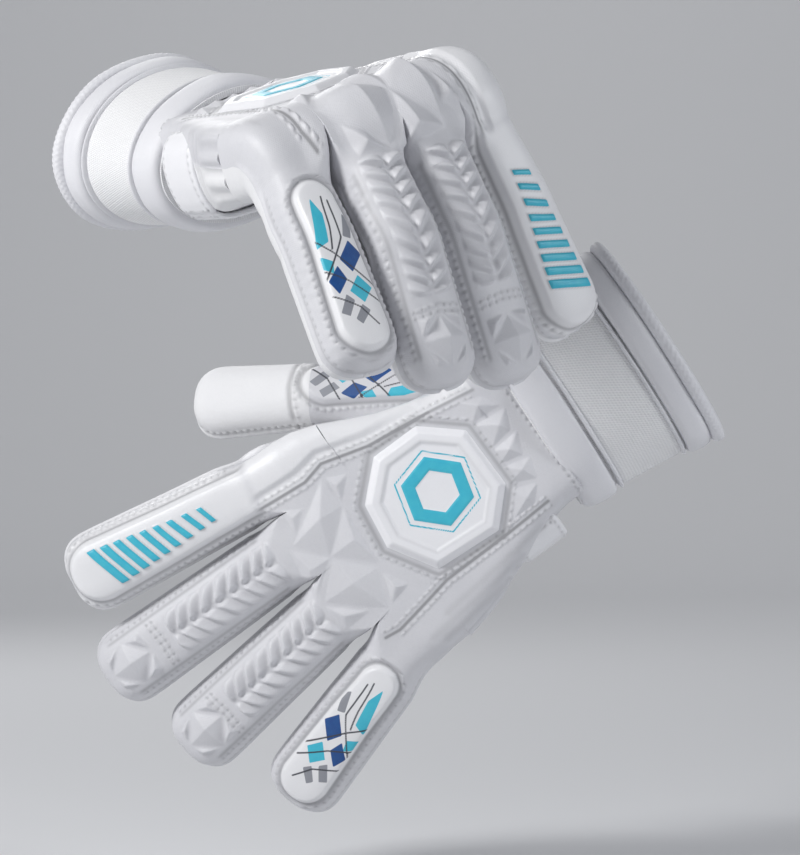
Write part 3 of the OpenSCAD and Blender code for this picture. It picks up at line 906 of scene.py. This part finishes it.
def hand_section(x, half, nloop):
    yl, yh = float(y_lo(x)), float(y_hi(x))
    hh = HT if half == "top" else hb_of(x)
    nt = int(nloop * 0.86)
    c = section(yl, yh, 14.0, 14.0, hh, NEDGE, 1.0, 1.0, nt, 22 if half == "top" else 12)
    ret = np.stack([np.linspace(c[-1, 0], c[0, 0], nloop - nt + 2)[1:-1], np.zeros(nloop - nt)], 1)
    c = np.vstack([c, ret])
    if half == "bot":
        c[:, 1] *= -1
    return c


def side_folds(lk, X, Y, Z, sd):
    """long soft folds down the little-finger side, and a few across beside the strap, with painted shade in their
    hollows
    """
    f = np.sin(Z * 0.62 + 0.9 * np.sin(X * 0.07)) * sm((X - 44) / 10)
    g = np.exp(-((X - 38.5 - 0.1 * Z) / 1.7) ** 2) + 0.8 * np.exp(-((X - 43.2 - 0.15 * Z) / 1.6) ** 2)
    m = sd * (Y < 0)
    lk.h += (0.85 * f - 0.8 * g) * m
    lk.dark += (0.16 * sm(-f) + 0.18 * g) * m


def make_hand(side):
    for half in ("top", "bot"):
        step = 0.62 if half == "top" else 1.3
        nloop = 300 if half == "top" else 130
        xs = np.linspace(12.0, 72.0, int(60 / step))
        P = np.array([np.column_stack([np.full(nloop, x), hand_section(x, half, nloop)]) for x in xs])
        if half == "bot":
            P = P[:, ::-1]
        N = normals_of(P, True)
        mid, cen = P[len(P) // 2], P[len(P) // 2].mean(0)
        sgn = 1.0 if np.mean(np.sum(N[len(P) // 2] * (mid - cen), -1)) > 0 else -1.0
        N = N * sgn
        lk = Look(P.shape[:2])
        X, Y, Z = P[..., 0], P[..., 1], P[..., 2]
        if half == "top":
            up = sm((N[..., 2] - 0.15) / 0.35)
            hand_relief(lk, X, Y, up, side)
            sd = sm((0.75 - N[..., 2]) / 0.4) * (Z > 0.05)
            side_folds(lk, X, Y, Z, sd)
        else:
            sd = sm((0.75 - np.abs(N[..., 2])) / 0.4) * (Z < -0.05)
            side_folds(lk, X, Y, Z, sd)
            flat = sm((np.abs(N[..., 2]) - 0.6) / 0.3)
            # creases across the palm, with painted shade along each
            for c0, c1, c2, w_, dp_ in ((46, 0.30, 0, 2.2, 0.8), (60, -0.22, 0, 1.8, 0.6)):
                d = X - c0 - c1 * Y
                lk.h -= dp_ * np.exp(-(d / w_) ** 2) * flat
                lk.dark += 0.15 * np.exp(-(d / w_) ** 2) * flat
            d = Y - 16 + 0.5 * (X - 42)
            lk.h -= 0.7 * np.exp(-(d / 2.0) ** 2) * flat
            lk.dark += 0.15 * np.exp(-(d / 2.0) ** 2) * flat
        lk.h[np.abs(Z) < 0.02] = 0
        Pd = P + N * lk.h[..., None]
        cc = Pd.copy()
        if sgn < 0:
            Pd, cc = Pd[:, ::-1], cc[:, ::-1]
            for k in ("h", "dark", "teal", "navy", "grey", "line", "pad"):
                setattr(lk, k, getattr(lk, k)[:, ::-1])
        ob, _, _ = tube(f"{side}_hand_{'back' if half == 'top' else 'palm'}_shell", side, Pd, cc, lk, M_FOAM if half == "top" else M_LATEX)
        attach(ob, f"{side}_hand")
        if half == "top":
            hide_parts(f"{side}_backhand", f"{side}_side_gussets")
        else:
            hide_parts(f"{side}_palm_latex")


def make_thumb(side):
    TM = thumb_m(side)
    t3 = POSE[side]["thumb"][3]
    for part, (a, b) in {"a": (-3.0, 50.0), "b": (50.0, float(TLEN))}.items():
        for half in ("top", "bot"):
            step = 0.75
            re = 14.5
            if part == "a":
                sl = np.linspace(a, b, int((b - a) / step))
            else:
                s1 = TLEN - re
                t = np.linspace(0, math.pi / 2, int(re * 1.5 / step))
                sl = np.concatenate([np.linspace(a, s1, int((s1 - a) / step) + 1)[:-1], s1 + re * np.sin(t) * 0.9985])
            nloop = 120 if half == "top" else 90
            rows, S, U, Vv = [], [], [], []
            for s in sl:
                dome = max(0.0, (s - (TLEN - re)) / re)
                wsc = (max(1 - dome ** 2.3, 0)) ** (1 / 2.3)
                hsc = (max(1 - dome ** 3.2, 0)) ** (1 / 2.6)
                hw = float(np.interp(s, [-3, 16, 45, 92], [13.0, 13.6, 13.4, 15.6]))
                ht = float(np.interp(s, [-3, 20, 60, 107], [12.5, 13.2, 12.8, 12.0]))
                # the web side spreads towards the hand near the root
                uL = -(hw + 5.0 * float(1 - sm((s - 8) / 34)))
                c = upper_curve(uL, hw, -uL * 0.95, hw * 0.95, ht, 2.5)
                ntop = int(nloop * 0.74)
                c = resample(c, ntop)
                ret = np.stack([np.linspace(c[-1, 0], c[0, 0], nloop - ntop + 2)[1:-1], np.zeros(nloop - ntop)], 1)
                lip = np.zeros(nloop)
                if half == "top":
                    lip[:ntop] = 1.2 * np.exp(-(c[:, 1] / 1.5) ** 2) * float(sm((s - 24) / 12))
                c = np.vstack([c, ret])
                u = c[:, 0] * wsc + np.sign(c[:, 0]) * lip * wsc
                v = c[:, 1] * hsc * (1 if half == "top" else -1)
                rows.append(np.stack([s + lip * dome, u, v], 1))
                S.append(np.full(nloop, s)); U.append(u); Vv.append(v)
            P, S, U, Vv = np.array(rows), np.array(S), np.array(U), np.array(Vv)
            if half == "bot":
                P, S, U, Vv = P[:, ::-1], S[:, ::-1], U[:, ::-1], Vv[:, ::-1]
            N = normals_of(P, True)
            mid = P[len(P) // 3]
            sgn = 1.0 if np.mean(np.sum(N[len(P) // 3] * (mid - mid.mean(0)), -1)) > 0 else -1.0
            N = N * sgn
            lk = Look(S.shape)
            if half == "top":
                up = sm((N[..., 2] - 0.15) / 0.35)
                o = Look(S.shape)
                if side == "left":
                    pad = sd_capsule(S, U, (6, 4.5), (43, 2.5), 8.4, 9.6)
                    print_panel(o, S + 2.0, 3.2 - U, pad)
                else:
                    pad = sd_capsule(S, U, (6, 4.5), (43, 2.5), 8.4, 9.6)
                    print_panel(o, S + 2.0, 3.2 - U, pad)
                o.h += 1.2 * sm((pad + 0.3) / 2.2)
                o.add(groove(pad + 1.2, 0.8, 0.7))
                o.add(stitch(pad + 2.8, S))
                d, run = sd_path(S, U, [(56, -16), (57.5, 0), (56, 16)])
                o.add(groove(d, 0.8, 0.8))
                o.add(stitch(*sd_path(S, U, [(54, -16), (55.5, 0), (54, 16)])))
                lk.h += o.h * up; lk.dark += o.dark * up
                for k in ("teal", "navy", "grey", "line"):
                    setattr(lk, k, np.where(up > 0.3, getattr(o, k), -9.0))
                # a stitched flange with a line of painted shade just above it
                kk = sm((0.8 - N[..., 2]) / 0.4) * sm((Vv - 0.3) / 0.7) * sm((S - 22) / 8)
                st = stitch(np.abs(Vv - 3.0), S)
                lk.h += st[0] * kk
                lk.dark += st[1] * kk + 0.45 * np.exp(-((Vv - 1.9) / 0.45) ** 2) * kk
            lk.h[np.abs(Vv) < 0.02] = 0
            Pd = P + N * lk.h[..., None]
            sl_ = Pd[..., 0]
            w2 = sm((sl_ - (TMID - 9)) / 18)
            ang = np.radians(t3 * w2)
            r = Pd - np.array([TMID, 0, 0.0])
            Q = np.stack([r[..., 0] * np.cos(ang) + r[..., 2] * np.sin(ang), r[..., 1], -r[..., 0] * np.sin(ang) + r[..., 2] * np.cos(ang)], -1) + np.array([TMID, 0, 0.0])
            R = app(TM, Q.reshape(-1, 3)).reshape(Q.shape)
            w1 = sm((sl_ - 4) / 26)
            w = w1 if part == "a" else w2
            cc = Pd + np.array([200.0, 0, 0])
            if sgn < 0:
                R, cc, w = R[:, ::-1], cc[:, ::-1], w[:, ::-1]
                for k in ("h", "dark", "teal", "navy", "grey", "line", "pad"):
                    setattr(lk, k, getattr(lk, k)[:, ::-1])
            nm = f"{side}_thumb_{'lower' if part == 'a' else 'upper'}_{'back' if half == 'top' else 'grip'}_cover"
            ob, wv, W = tube(nm, side, R, cc, lk, M_FOAM if half == "top" and part == "a" else M_LATEX, (True, True), w)
            bodies = (f"{side}_hand", f"{side}_thumb_base") if part == "a" else (f"{side}_thumb_base", f"{side}_thumb_tip")
            W3 = W.reshape(len(sl), -1, 3)
            set_blend(ob, *bodies, wv, W3[0].mean(0), W3[-1].mean(0))
            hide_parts(f"{side}_thumb_{'base' if part == 'a' else 'tip'}_{'back' if half == 'top' else 'grip'}")


def make_web(side):
    """the padded web between the thumb and the index side of the hand"""
    TM = thumb_m(side)
    nr, na, nb = 70, 44, 10
    rows, wts = [], []
    for q in np.linspace(0, 1, nr):
        xa = lerp(28.0, 80.0, q)
        A = np.array([xa, float(y_hi(xa)) - 9.0, 0.0 - 2.0 * q])
        st = lerp(4.0, 44.0, q)
        B = app(TM, np.array([[st, -6.0, 0.0]]))[0]
        hA, hB = lerp(13.0, 8.5, q), lerp(11.0, 7.0, q)
        zA = lerp(0.0, 3.0, q)
        A[2] += zA
        TMz = TM[:3, 2]
        upA, upB = np.array([0, 0, 1.0]), TMz
        e = sm((1 - q) / 0.16) ** 0.5 if q > 0.84 else 1.0
        e = max(float(e), 0.02)
        loop, ww = [], []
        for a in np.linspace(0, 1, na):
            c = lerp(A, B, a)
            upv = unit(lerp(upA, upB, a))
            sag = -2.2 * math.sin(math.pi * a) * q
            loop.append(c + upv * (lerp(hA, hB, a) + sag) * e)
            ww.append(a)
        for a in np.linspace(1, 0, na):
            c = lerp(A, B, a)
            upv = unit(lerp(upA, upB, a))
            loop.append(c - upv * (lerp(hA, hB, a) - 2.2 * math.sin(math.pi * a) * q) * e)
            ww.append(a)
        rows.append(loop)
        wts.append(ww)
    P, w = np.array(rows), np.array(wts)
    # the web's front edge sags back in a curve
    a = w
    q = np.linspace(0, 1, nr)[:, None]
    d = -9.0 * np.sin(np.pi * a) * q ** 2
    P[..., 0] += d * 0.8
    P[..., 1] += d * 0.5
    N = normals_of(P, True)
    sgn = 1.0 if np.mean(np.sum(N[nr // 2] * (P[nr // 2] - P[nr // 2].mean(0)), -1)) > 0 else -1.0
    N = N * sgn
    lk = Look(w.shape)
    top = (np.arange(w.shape[1]) < na)[None, :]
    # pleats across the web, with painted shade in their hollows
    lk.h += 0.55 * np.sin(a * 26.0) * sm(np.sin(np.pi * a) * 3) * sm((1 - q) * 6)
    lk.dark += 0.2 * sm(-np.sin(a * 26.0))
    Pd = P + N * lk.h[..., None]
    cc = Pd + np.array([0, 0, 300.0])
    w_ = sm((w - 0.05) / 0.9)
    if sgn < 0:
        Pd, cc, w_ = Pd[:, ::-1], cc[:, ::-1], w_[:, ::-1]
        for k in ("h", "dark", "teal", "navy", "grey", "line", "pad"):
            setattr(lk, k, getattr(lk, k)[:, ::-1])
    ob, wv, W = tube(f"{side}_thumb_web", side, Pd, cc, lk, M_MESH, (True, True), w_)
    set_blend(ob, f"{side}_hand", f"{side}_thumb_base", wv, W[0], W[-1] + 1e-4)


def cuff_ab(x):
    return 36.5 + 7 * (-x) / 76, 24 + 7 * (-x) / 76


def revolve(side, name, prof, mat, nseg=230, relief=None):
    """prof: closed list of (x, t) in the cuff's frame"""
    prof = np.array(prof, float)
    th = np.linspace(0, 2 * math.pi, nseg, endpoint=False)
    X = np.broadcast_to(prof[:, 0][None, :], (nseg, len(prof)))
    T = np.broadcast_to(prof[:, 1][None, :], (nseg, len(prof)))
    TH = np.broadcast_to(th[:, None], X.shape)
    if relief is not None:
        T = T + relief(X, T, TH)
    a, b = cuff_ab(X)
    P = np.stack([X, (a + T) * np.cos(TH), (b + T) * np.sin(TH)], -1)
    arc = TH * 40.0
    cc = np.stack([X, arc, T + 400], -1)
    # near the seam of the angle the weave coordinate runs over, so it is closed on a whole number of turns
    CM = cuff_m(side)
    W = app(GM[side], app(CM, P.reshape(-1, 3))) * MM
    ns, nt = X.shape
    i = np.arange(ns)[:, None]
    j = np.arange(nt)[None, :]
    i2, j2 = (i + 1) % ns, (j + 1) % nt
    Q = np.stack([np.broadcast_to(v, (ns, nt)) for v in (i * nt + j, i * nt + j2, i2 * nt + j2, i2 * nt + j)], -1).reshape(-1, 4)
    # orientation by signed volume
    c0 = W.mean(0)
    A, B, C = W[Q[:, 0]] - c0, W[Q[:, 1]] - c0, W[Q[:, 2]] - c0
    D = W[Q[:, 3]] - c0
    vol = np.sum(np.einsum("ij,ij->i", A, np.cross(B, C))) + np.sum(np.einsum("ij,ij->i", A, np.cross(C, D)))
    if vol < 0:
        Q = Q[:, ::-1]
    at = {"cc": cc.reshape(-1, 3)}
    return mesh_obj(name, W, Q, np.zeros((0, 3)), at, mat)


def roll_profile(x0, x1, t0, t1, n=44, p=3.0):
    """a padded roll between x0 and x1, from t0 to t1"""
    cx, hx = (x0 + x1) / 2, (x1 - x0) / 2
    a = np.linspace(0, math.pi, n)
    up = np.stack([cx + hx * np.sign(np.cos(a)) * np.abs(np.cos(a)) ** (2 / p), t0 + (t1 - t0) * np.sin(a) ** (2 / p)], 1)
    lo = np.stack([np.linspace(x0, x1, 12)[1:-1], np.full(10, t0)], 1)
    return np.vstack([up, lo])


def make_cuff(side):
    # the textile sleeve with its lining
    xs = np.linspace(-75.4, -9.6, 120)
    t_out = 3.1 + 0.7 * sm((xs + 58.5) / 3) * sm((-28.5 - xs) / 3)
    t_out -= 1.0 * np.exp(-((xs + 59.3) / 1.1) ** 2) + 1.0 * np.exp(-((xs + 27.6) / 1.1) ** 2)
    outer = np.stack([xs, t_out], 1)
    inner = np.stack([xs[::-3], np.full(len(xs[::-3]), 0.15)], 1)

    def rel(X, T, TH):
        fab = sm((X + 57) / 2) * sm((-30 - X) / 2) * (T > 2)
        arc = TH * 40
        return fab * 0.07 * np.sin(2 * math.pi * (arc + 0.55 * X) / 2.094) + 0.25 * (T > 2) * np.sin(3 * TH + X * 0.08)

    ob = revolve(side, f"{side}_cuff_textile_sleeve", np.vstack([outer, inner]), M_RIB, 320, rel)
    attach(ob, f"{side}_cuff"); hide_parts(f"{side}_cuff_sleeve")

    def wob(ph, amp):
        return lambda X, T, TH: amp * (np.sin(5 * TH + ph) * 0.5 + np.sin(9 * TH + 2 * ph) * 0.3) * (T > 3.5)

    for i, (x0, x1, t1, ph) in enumerate(((-26.4, -10.2, 6.6, 0.3), (-71.8, -60.2, 6.2, 1.7))):
        ob = revolve(side, f"{side}_cuff_roll_{i}", roll_profile(x0, x1, 2.2, t1), M_ROLL, 230, wob(ph, 0.5))
        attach(ob, f"{side}_cuff"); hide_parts(f"{side}_cuff_rolls")
    for i, (x0, x1, t0, t1) in enumerate(((-29.6, -27.6, 2.6, 5.2), (-59.6, -57.8, 2.6, 5.0))):
        ob = revolve(side, f"{side}_cuff_piping_{i}", roll_profile(x0, x1, t0, t1, 18, 2.0), M_ROLL, 230)
        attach(ob, f"{side}_cuff")
    # the binding at the mouth wraps inside and outside
    a = np.linspace(0, 2 * math.pi, 44, endpoint=False)
    prof = np.stack([-74.6 + 3.0 * np.sign(np.cos(a)) * np.abs(np.cos(a)) ** 0.85, 2.5 + 4.2 * np.sign(np.sin(a)) * np.abs(np.sin(a)) ** 0.85], 1)

    def fuzz(X, T, TH):
        return 0.22 * np.sin(TH * 96) * np.sin(X * 2.2) + 0.25 * np.sin(7 * TH)

    ob = revolve(side, f"{side}_cuff_mouth_binding", prof, M_ROLL, 420, fuzz)
    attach(ob, f"{side}_cuff")


def make_wrist(side):
    """stretch fabric between the cuff and the hand"""
    CM = cuff_m(side)
    nr, nt = 72, 420
    th = np.linspace(0, 2 * math.pi, nt, endpoint=False)
    xc = -17.0
    a, b = cuff_ab(xc)
    A = np.stack([np.full(nt, xc), (a + 2.0) * np.cos(th), (b + 2.0) * np.sin(th)], 1)
    A = app(CM, A)
    ang0 = th

    def ring(x):
        yl, yh = float(y_lo(x)), float(y_hi(x))
        hb = hb_of(x)
        top = upper_curve(yl, yh, 14, 14, HT, NEDGE)
        bot = upper_curve(yl, yh, 14, 14, hb, NEDGE)[::-1] * np.array([1, -1])
        loop = np.vstack([top, bot[1:-1]])
        ang = np.arctan2(loop[:, 1] / 17.0, (loop[:, 0] - (yl + yh) / 2) / 37.0) % (2 * math.pi)
        o = np.argsort(ang)
        return np.stack([np.full(nt, x), np.interp(ang0, ang[o], loop[o, 0], period=2 * math.pi), np.interp(ang0, ang[o], loop[o, 1], period=2 * math.pi)], 1)

    r1 = 0.42
    rr_ = np.linspace(0, 1, nr)
    B0 = ring(-3.0)
    P = np.array([lerp(A, B0, 0.5 * float(sm(q / r1)) + 0.5 * q / r1) if q < r1 else ring(lerp(-3.0, 12.0, (q - r1) / (1 - r1))) for q in rr_])
    r = rr_[:, None, None]
    # a step: the hand's panel ends over the wrist fabric
    N = normals_of(P, True)
    sgn = 1.0 if np.mean(np.sum(N[nr // 2] * (P[nr // 2] - P[nr // 2].mean(0)), -1)) > 0 else -1.0
    N = N * sgn
    R = np.broadcast_to(r[..., 0], (nr, nt))
    lk = Look((nr, nt))
    knit = sm((r1 - R) / 0.06)
    lk.h += 0.25 * np.sin(np.arange(nt)[None, :] * 2 * math.pi * 110 / nt) * knit - 0.5 * knit
    # the knit band is darker overall, and a line of painted shade runs along the step where the hand's panel ends
    lk.dark += 0.16 * knit + 0.35 * np.exp(-((R - r1 + 0.02) / 0.02) ** 2)
    up = sm((N[..., 2] - 0.15) / 0.35) * sm((R - r1) / 0.05)
    hand_relief(lk, P[..., 0], P[..., 1], up, side)
    lk.add(stitch(P[..., 0] + 1.2, P[..., 1] + 100), up)
    Pd = P + N * lk.h[..., None]
    cc = P.copy()
    w = sm((R - 0.1) / 0.88)
    if sgn < 0:
        Pd, cc, w = Pd[:, ::-1], cc[:, ::-1], w[:, ::-1]
        for k in ("h", "dark", "teal", "navy", "grey", "line", "pad"):
            setattr(lk, k, getattr(lk, k)[:, ::-1])
    ob, wv, W = tube(f"{side}_wrist_gusset", side, Pd, cc, lk, M_FOAM, (True, True), w)
    set_blend(ob, f"{side}_cuff", f"{side}_hand", wv, W.reshape(nr, nt, 3)[0].mean(0), W.reshape(nr, nt, 3)[-1].mean(0))


def make_badge(side):
    """the raised eight-sided plate with its printed ring"""
    c = np.array([50.0, 0.0])
    pts = np.array(PLATE, float)
    nt, nr = 240, 60
    th = np.linspace(0, 2 * math.pi, nt, endpoint=False)
    # distance from the centre to the outline in each direction
    Rm = np.zeros(nt)
    for k, t in enumerate(th):
        d = np.array([math.cos(t), math.sin(t)])
        best = 1e9
        for i in range(len(pts)):
            a, b = pts[i] - c, pts[(i + 1) % len(pts)] - c
            e = b - a
            det = d[0] * (-e[1]) - d[1] * (-e[0])
            if abs(det) < 1e-9:
                continue
            r_ = (a[0] * (-e[1]) - a[1] * (-e[0])) / det
            s_ = (d[0] * a[1] - d[1] * a[0]) / det
            if r_ > 0 and -1e-6 <= s_ <= 1 + 1e-6:
                best = min(best, r_)
        Rm[k] = best
    q = np.concatenate([np.linspace(0.0, 0.86, nr - 22)[1:], np.linspace(0.86, 1.0, 23)])
    X = c[0] + np.outer(q, Rm * np.cos(th))
    Y = c[1] + np.outer(q, Rm * np.sin(th))
    d = sd_poly(X, Y, PLATE)
    d = np.maximum(d, 0)
    z = HT + 0.2 + 2.6 * sm(d / 3.4) ** 0.8 - 0.9 * np.exp(-((d - 6.4) / 1.1) ** 2) * 0
    z = z - 0.8 * sm((d - 6.0) / 1.6)  # a shallow tray inside the rim
    ex, ey = X - 47.0, Y - 0.5
    rr = np.hypot(ex, ey)
    an = np.arctan2(ey, ex)
    # a plain six-sided ring, with an outline outside it
    hexr = lambda R_: R_ * math.cos(math.pi / 6) / np.cos(((an + 0.26) % (math.pi / 3)) - math.pi / 6)
    lk = Look(X.shape)
    lk.teal = np.maximum(np.minimum(hexr(15.6) - rr, rr - hexr(9.4)), np.minimum(hexr(18.6) - rr, rr - hexr(17.8)))
    z = z + 0.5 * sm((np.minimum(hexr(15.6) - rr, rr - hexr(9.4)) + 0.2) / 0.8)
    lk.h = z - HT - 2.0
    # painted shade where the tray steps down inside the rim
    lk.dark += 0.25 * np.exp(-((d - 6.2) / 0.7) ** 2)
    st = stitch(d - 1.0, an * 30)
    P = np.stack([X, Y, z], -1)
    nrow = len(q)
    # underside ring and centre points
    V = P.reshape(-1, 3)
    top_c = np.array([[c[0], c[1], z[0].mean()]])
    under = P[-1].copy()
    under[:, 2] = HT - 1.2
    bot_c = np.array([[c[0], c[1], HT - 1.2]])
    V = np.vstack([V, top_c, P[-1], under, under, bot_c])
    base = nrow * nt
    ic, i1, i2, i3, ib = base, base + 1, base + 1 + nt, base + 1 + 2 * nt, base + 1 + 3 * nt
    Q = [grid(nrow, nt)]
    j = np.arange(nt)
    j2 = (j + 1) % nt
    Q.append(np.stack([i1 + j, i1 + j2, i2 + j2, i2 + j], 1))
    T = np.vstack([np.stack([j2, j, np.full(nt, ic)], 1), np.stack([i3 + j, i3 + j2, np.full(nt, ib)], 1)])
    Q = np.vstack(Q)
    W = app(GM[side], V) * MM

    def orient(F):
        A, B, C = W[F[:, 0]], W[F[:, 1]], W[F[:, 2]]
        return np.cross(B - A, C - A)

    nup = GM[side][:3, 2]
    if np.sum(orient(grid(nrow, nt)) @ nup) < 0:
        Q, T = Q[:, ::-1], T[:, ::-1]
    at = {"cc": V}

    def full(a, e=-9.0):
        a = a.reshape(-1)
        last = a[-nt:]
        return np.concatenate([a, [a[:nt].mean()], last, last, last, [last.mean()]])

    at["c_teal"] = full(lk.teal); at["c_navy"] = full(lk.navy); at["c_grey"] = full(lk.grey); at["c_line"] = full(lk.line)
    at["c_dark"] = full(lk.dark); at["c_h"] = full(lk.h * 0)
    ob = mesh_obj(f"{side}_back_plate", W, Q, T, at, M_PAD)
    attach(ob, f"{side}_hand"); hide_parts(f"{side}_badge_plate")


def band(side, name, path, x0, x1, thick, mat, nx=46, edge=1.2):
    """a strap of the given width following a path in the (y, z) plane; path runs along its middle"""
    p = np.array(path, float)
    d = np.concatenate([[0], np.cumsum(np.hypot(*np.diff(p, axis=0).T))])
    n = int(d[-1] / 0.9) + 2
    t = np.linspace(0, d[-1], n)
    p = np.stack([np.interp(t, d, p[:, 0]), np.interp(t, d, p[:, 1])], 1)
    for _ in range(6):
        p[1:-1] = 0.25 * p[:-2] + 0.5 * p[1:-1] + 0.25 * p[2:]
    tg = np.gradient(p, axis=0)
    tg /= np.linalg.norm(tg, axis=1)[:, None]
    nn = np.stack([-tg[:, 1], tg[:, 0]], 1)
    hw, cx = (x1 - x0) / 2, (x0 + x1) / 2
    a = np.linspace(0, 2 * math.pi, nx * 2, endpoint=False)
    rows, L = [], []
    for i in range(n):
        e = min(t[i], t[-1] - t[i])
        k = max(0.03, min(1.0, math.sqrt(max(0, 1 - max(0, 1 - e / 3.0) ** 2))))
        kx = 1 - 0.10 * (1 - min(1, e / 4.0)) ** 2
        X = cx + hw * kx * np.sign(np.cos(a)) * np.abs(np.cos(a)) ** 0.35
        h = thick / 2 * k * np.sign(np.sin(a)) * np.abs(np.sin(a)) ** 0.6
        rows.append(np.stack([X, p[i, 0] + nn[i, 0] * h, p[i, 1] + nn[i, 1] * h], 1))
        L.append(np.full(len(a), t[i]))
    P, L = np.array(rows), np.array(L)
    N = normals_of(P, True)
    c = P.mean(1, keepdims=True)
    sgn = 1.0 if np.mean(np.sum(N * (P - c), -1)) > 0 else -1.0
    N = N * sgn
    lk = Look(L.shape)
    edge_d = hw - np.abs(P[..., 0] - cx)
    flat = np.broadcast_to(np.abs(np.sin(a))[None], L.shape) > 0.35
    st = stitch(edge_d - 2.2, L)
    lk.h += st[0] * flat * 0.8
    lk.dark += st[1] * flat
    e2 = np.minimum(L, L.max() - L)
    st = stitch(e2 - 2.6, P[..., 0])
    lk.h += st[0] * flat * (edge_d > 2)
    lk.dark += st[1] * flat * (edge_d > 2)
    P = P + N * lk.h[..., None]
    cc = np.stack([P[..., 0], L, P[..., 2] * 0 + 600], -1)
    if sgn < 0:
        P, cc = P[:, ::-1], cc[:, ::-1]
        for k in ("h", "dark", "teal", "navy", "grey", "line", "pad"):
            setattr(lk, k, getattr(lk, k)[:, ::-1])
    ob, _, _ = tube(name, side, P, cc, lk, mat)
    return ob


def make_strap(side):
    root = [(-35.5, 11.5), (-40.5, 9.8), (-44.2, 5.8), (-45.8, -1), (-45.6, -9), (-44.0, -16), (-41.0, -21.6)]
    ob = band(side, f"{side}_strap_root_band", root, 12.6, 35.2, 3.6, M_STRAP)
    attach(ob, f"{side}_hand"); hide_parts(f"{side}_strap_root")
    flap = [(-42.2, -20.6), (-38.5, -23.8), (-33, -25.4), (-20, -26.2), (0, -26.2), (10.8, -25.9)]
    ob = band(side, f"{side}_strap_flap_band", flap, 13.4, 34.6, 2.6, M_STRAP)
    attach(ob, f"{side}_strap"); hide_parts(f"{side}_strap_flap")
    for nm, y0, y1, z, body, node, th in (("hook_pad", -19.6, 1.8, -24.55, f"{side}_strap", "hook_patch", 0.8), ("loop_pad", -31.6, 7.8, -23.9, f"{side}_hand", "loop_patch", 0.7)):
        ob = band(side, f"{side}_{nm}", [(y0, z), ((y0 + y1) / 2, z), (y1, z)], 15.4, 32.6, th, M_HOOK)
        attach(ob, body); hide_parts(f"{side}_{node}")


for side in ("left", "right"):
    make_hand(side)
    for f in range(4):
        make_finger(side, f)
    make_thumb(side)
    make_web(side)
    make_cuff(side)
    make_wrist(side)
    make_badge(side)
    make_strap(side)


# ---------------------------------------------------------------- floor, light, camera
def plain(name, col, rough=0.9):
    m = bpy.data.materials.new(name)
    m.use_nodes = True
    nt = m.node_tree
    b = nt.nodes["Principled BSDF"]
    b.inputs["Roughness"].default_value = rough
    b.inputs["Specular IOR Level"].default_value = 0.1
    n = nt.nodes.new("ShaderNodeTexNoise")
    n.inputs["Scale"].default_value = 3.0
    mx = nt.nodes.new("ShaderNodeMix")
    mx.data_type = "RGBA"
    mx.inputs[6].default_value = (*col, 1)
    mx.inputs[7].default_value = (*[c * 0.96 for c in col], 1)
    nt.links.new(n.outputs[0], mx.inputs[0])
    nt.links.new(mx.outputs[2], b.inputs["Base Color"])
    return m


def backdrop():
    y0, z0, r = 3.4, -0.235, 1.0
    prof = [(-4.0, z0)] + [(y0 - r + r * math.sin(a), z0 + r - r * math.cos(a)) for a in np.linspace(0, math.pi / 2, 24)] + [(y0, 3.5)]
    V, F = [], []
    for i, (y, z) in enumerate(prof):
        V += [(-6, y, z), (6, y, z)]
    for i in range(len(prof) - 1):
        F.append((2 * i, 2 * i + 1, 2 * i + 3, 2 * i + 2))
    me = bpy.data.meshes.new("studio_floor")
    me.from_pydata(V, [], F)
    me.polygons.foreach_set("use_smooth", [True] * len(F))
    me.materials.append(plain("studio_paper", (0.74, 0.745, 0.76)))
    ob = bpy.data.objects.new("studio_floor", me)
    bpy.context.scene.collection.objects.link(ob)


def area(name, loc, look, size, power, col=(1, 1, 1)):
    l = bpy.data.lights.new(name, "AREA")
    l.shape = "RECTANGLE"
    l.size, l.size_y = size
    l.energy = power
    l.color = col
    o = bpy.data.objects.new(name, l)
    o.location = loc
    d = Vector(look) - Vector(loc)
    o.rotation_euler = d.to_track_quat("-Z", "Y").to_euler()
    bpy.context.scene.collection.objects.link(o)


backdrop()
mid = (-0.11, 0, -0.03)
area("key_light", (-1.10, -0.72, 0.62), mid, (0.34, 0.34), 14.5)
area("rim_light", (1.05, -0.55, 0.40), mid, (0.4, 0.5), 6.0, (0.95, 0.97, 1.0))
area("fill_light", (0.3, -1.7, -0.35), mid, (1.4, 1.0), 1.5)
area("back_light", (-0.6, 1.3, 0.8), mid, (0.5, 0.5), 4.0)
area("paper_light", (0.0, 1.7, 2.2), (0, 3.3, 0.4), (2.6, 1.0), 22)
w = bpy.data.worlds.new("studio_world")
w.use_nodes = True
w.node_tree.nodes["Background"].inputs[0].default_value = (0.9, 0.93, 1.0, 1)
w.node_tree.nodes["Background"].inputs[1].default_value = 0.20
bpy.context.scene.world = w
bpy.context.scene.view_settings.view_transform = "Standard"

cam = bpy.data.cameras.new("camera")
cam.sensor_width = 36.0
cam.lens = 36.0 * 1300 / (855 * 0.42)
cam.clip_start, cam.clip_end = 0.05, 20
co = bpy.data.objects.new("camera", cam)
co.location = (-0.1111, -1.326, -0.0374)
co.rotation_euler = (math.pi / 2, 0, 0)
bpy.context.scene.collection.objects.link(co)
bpy.context.scene.camera = co
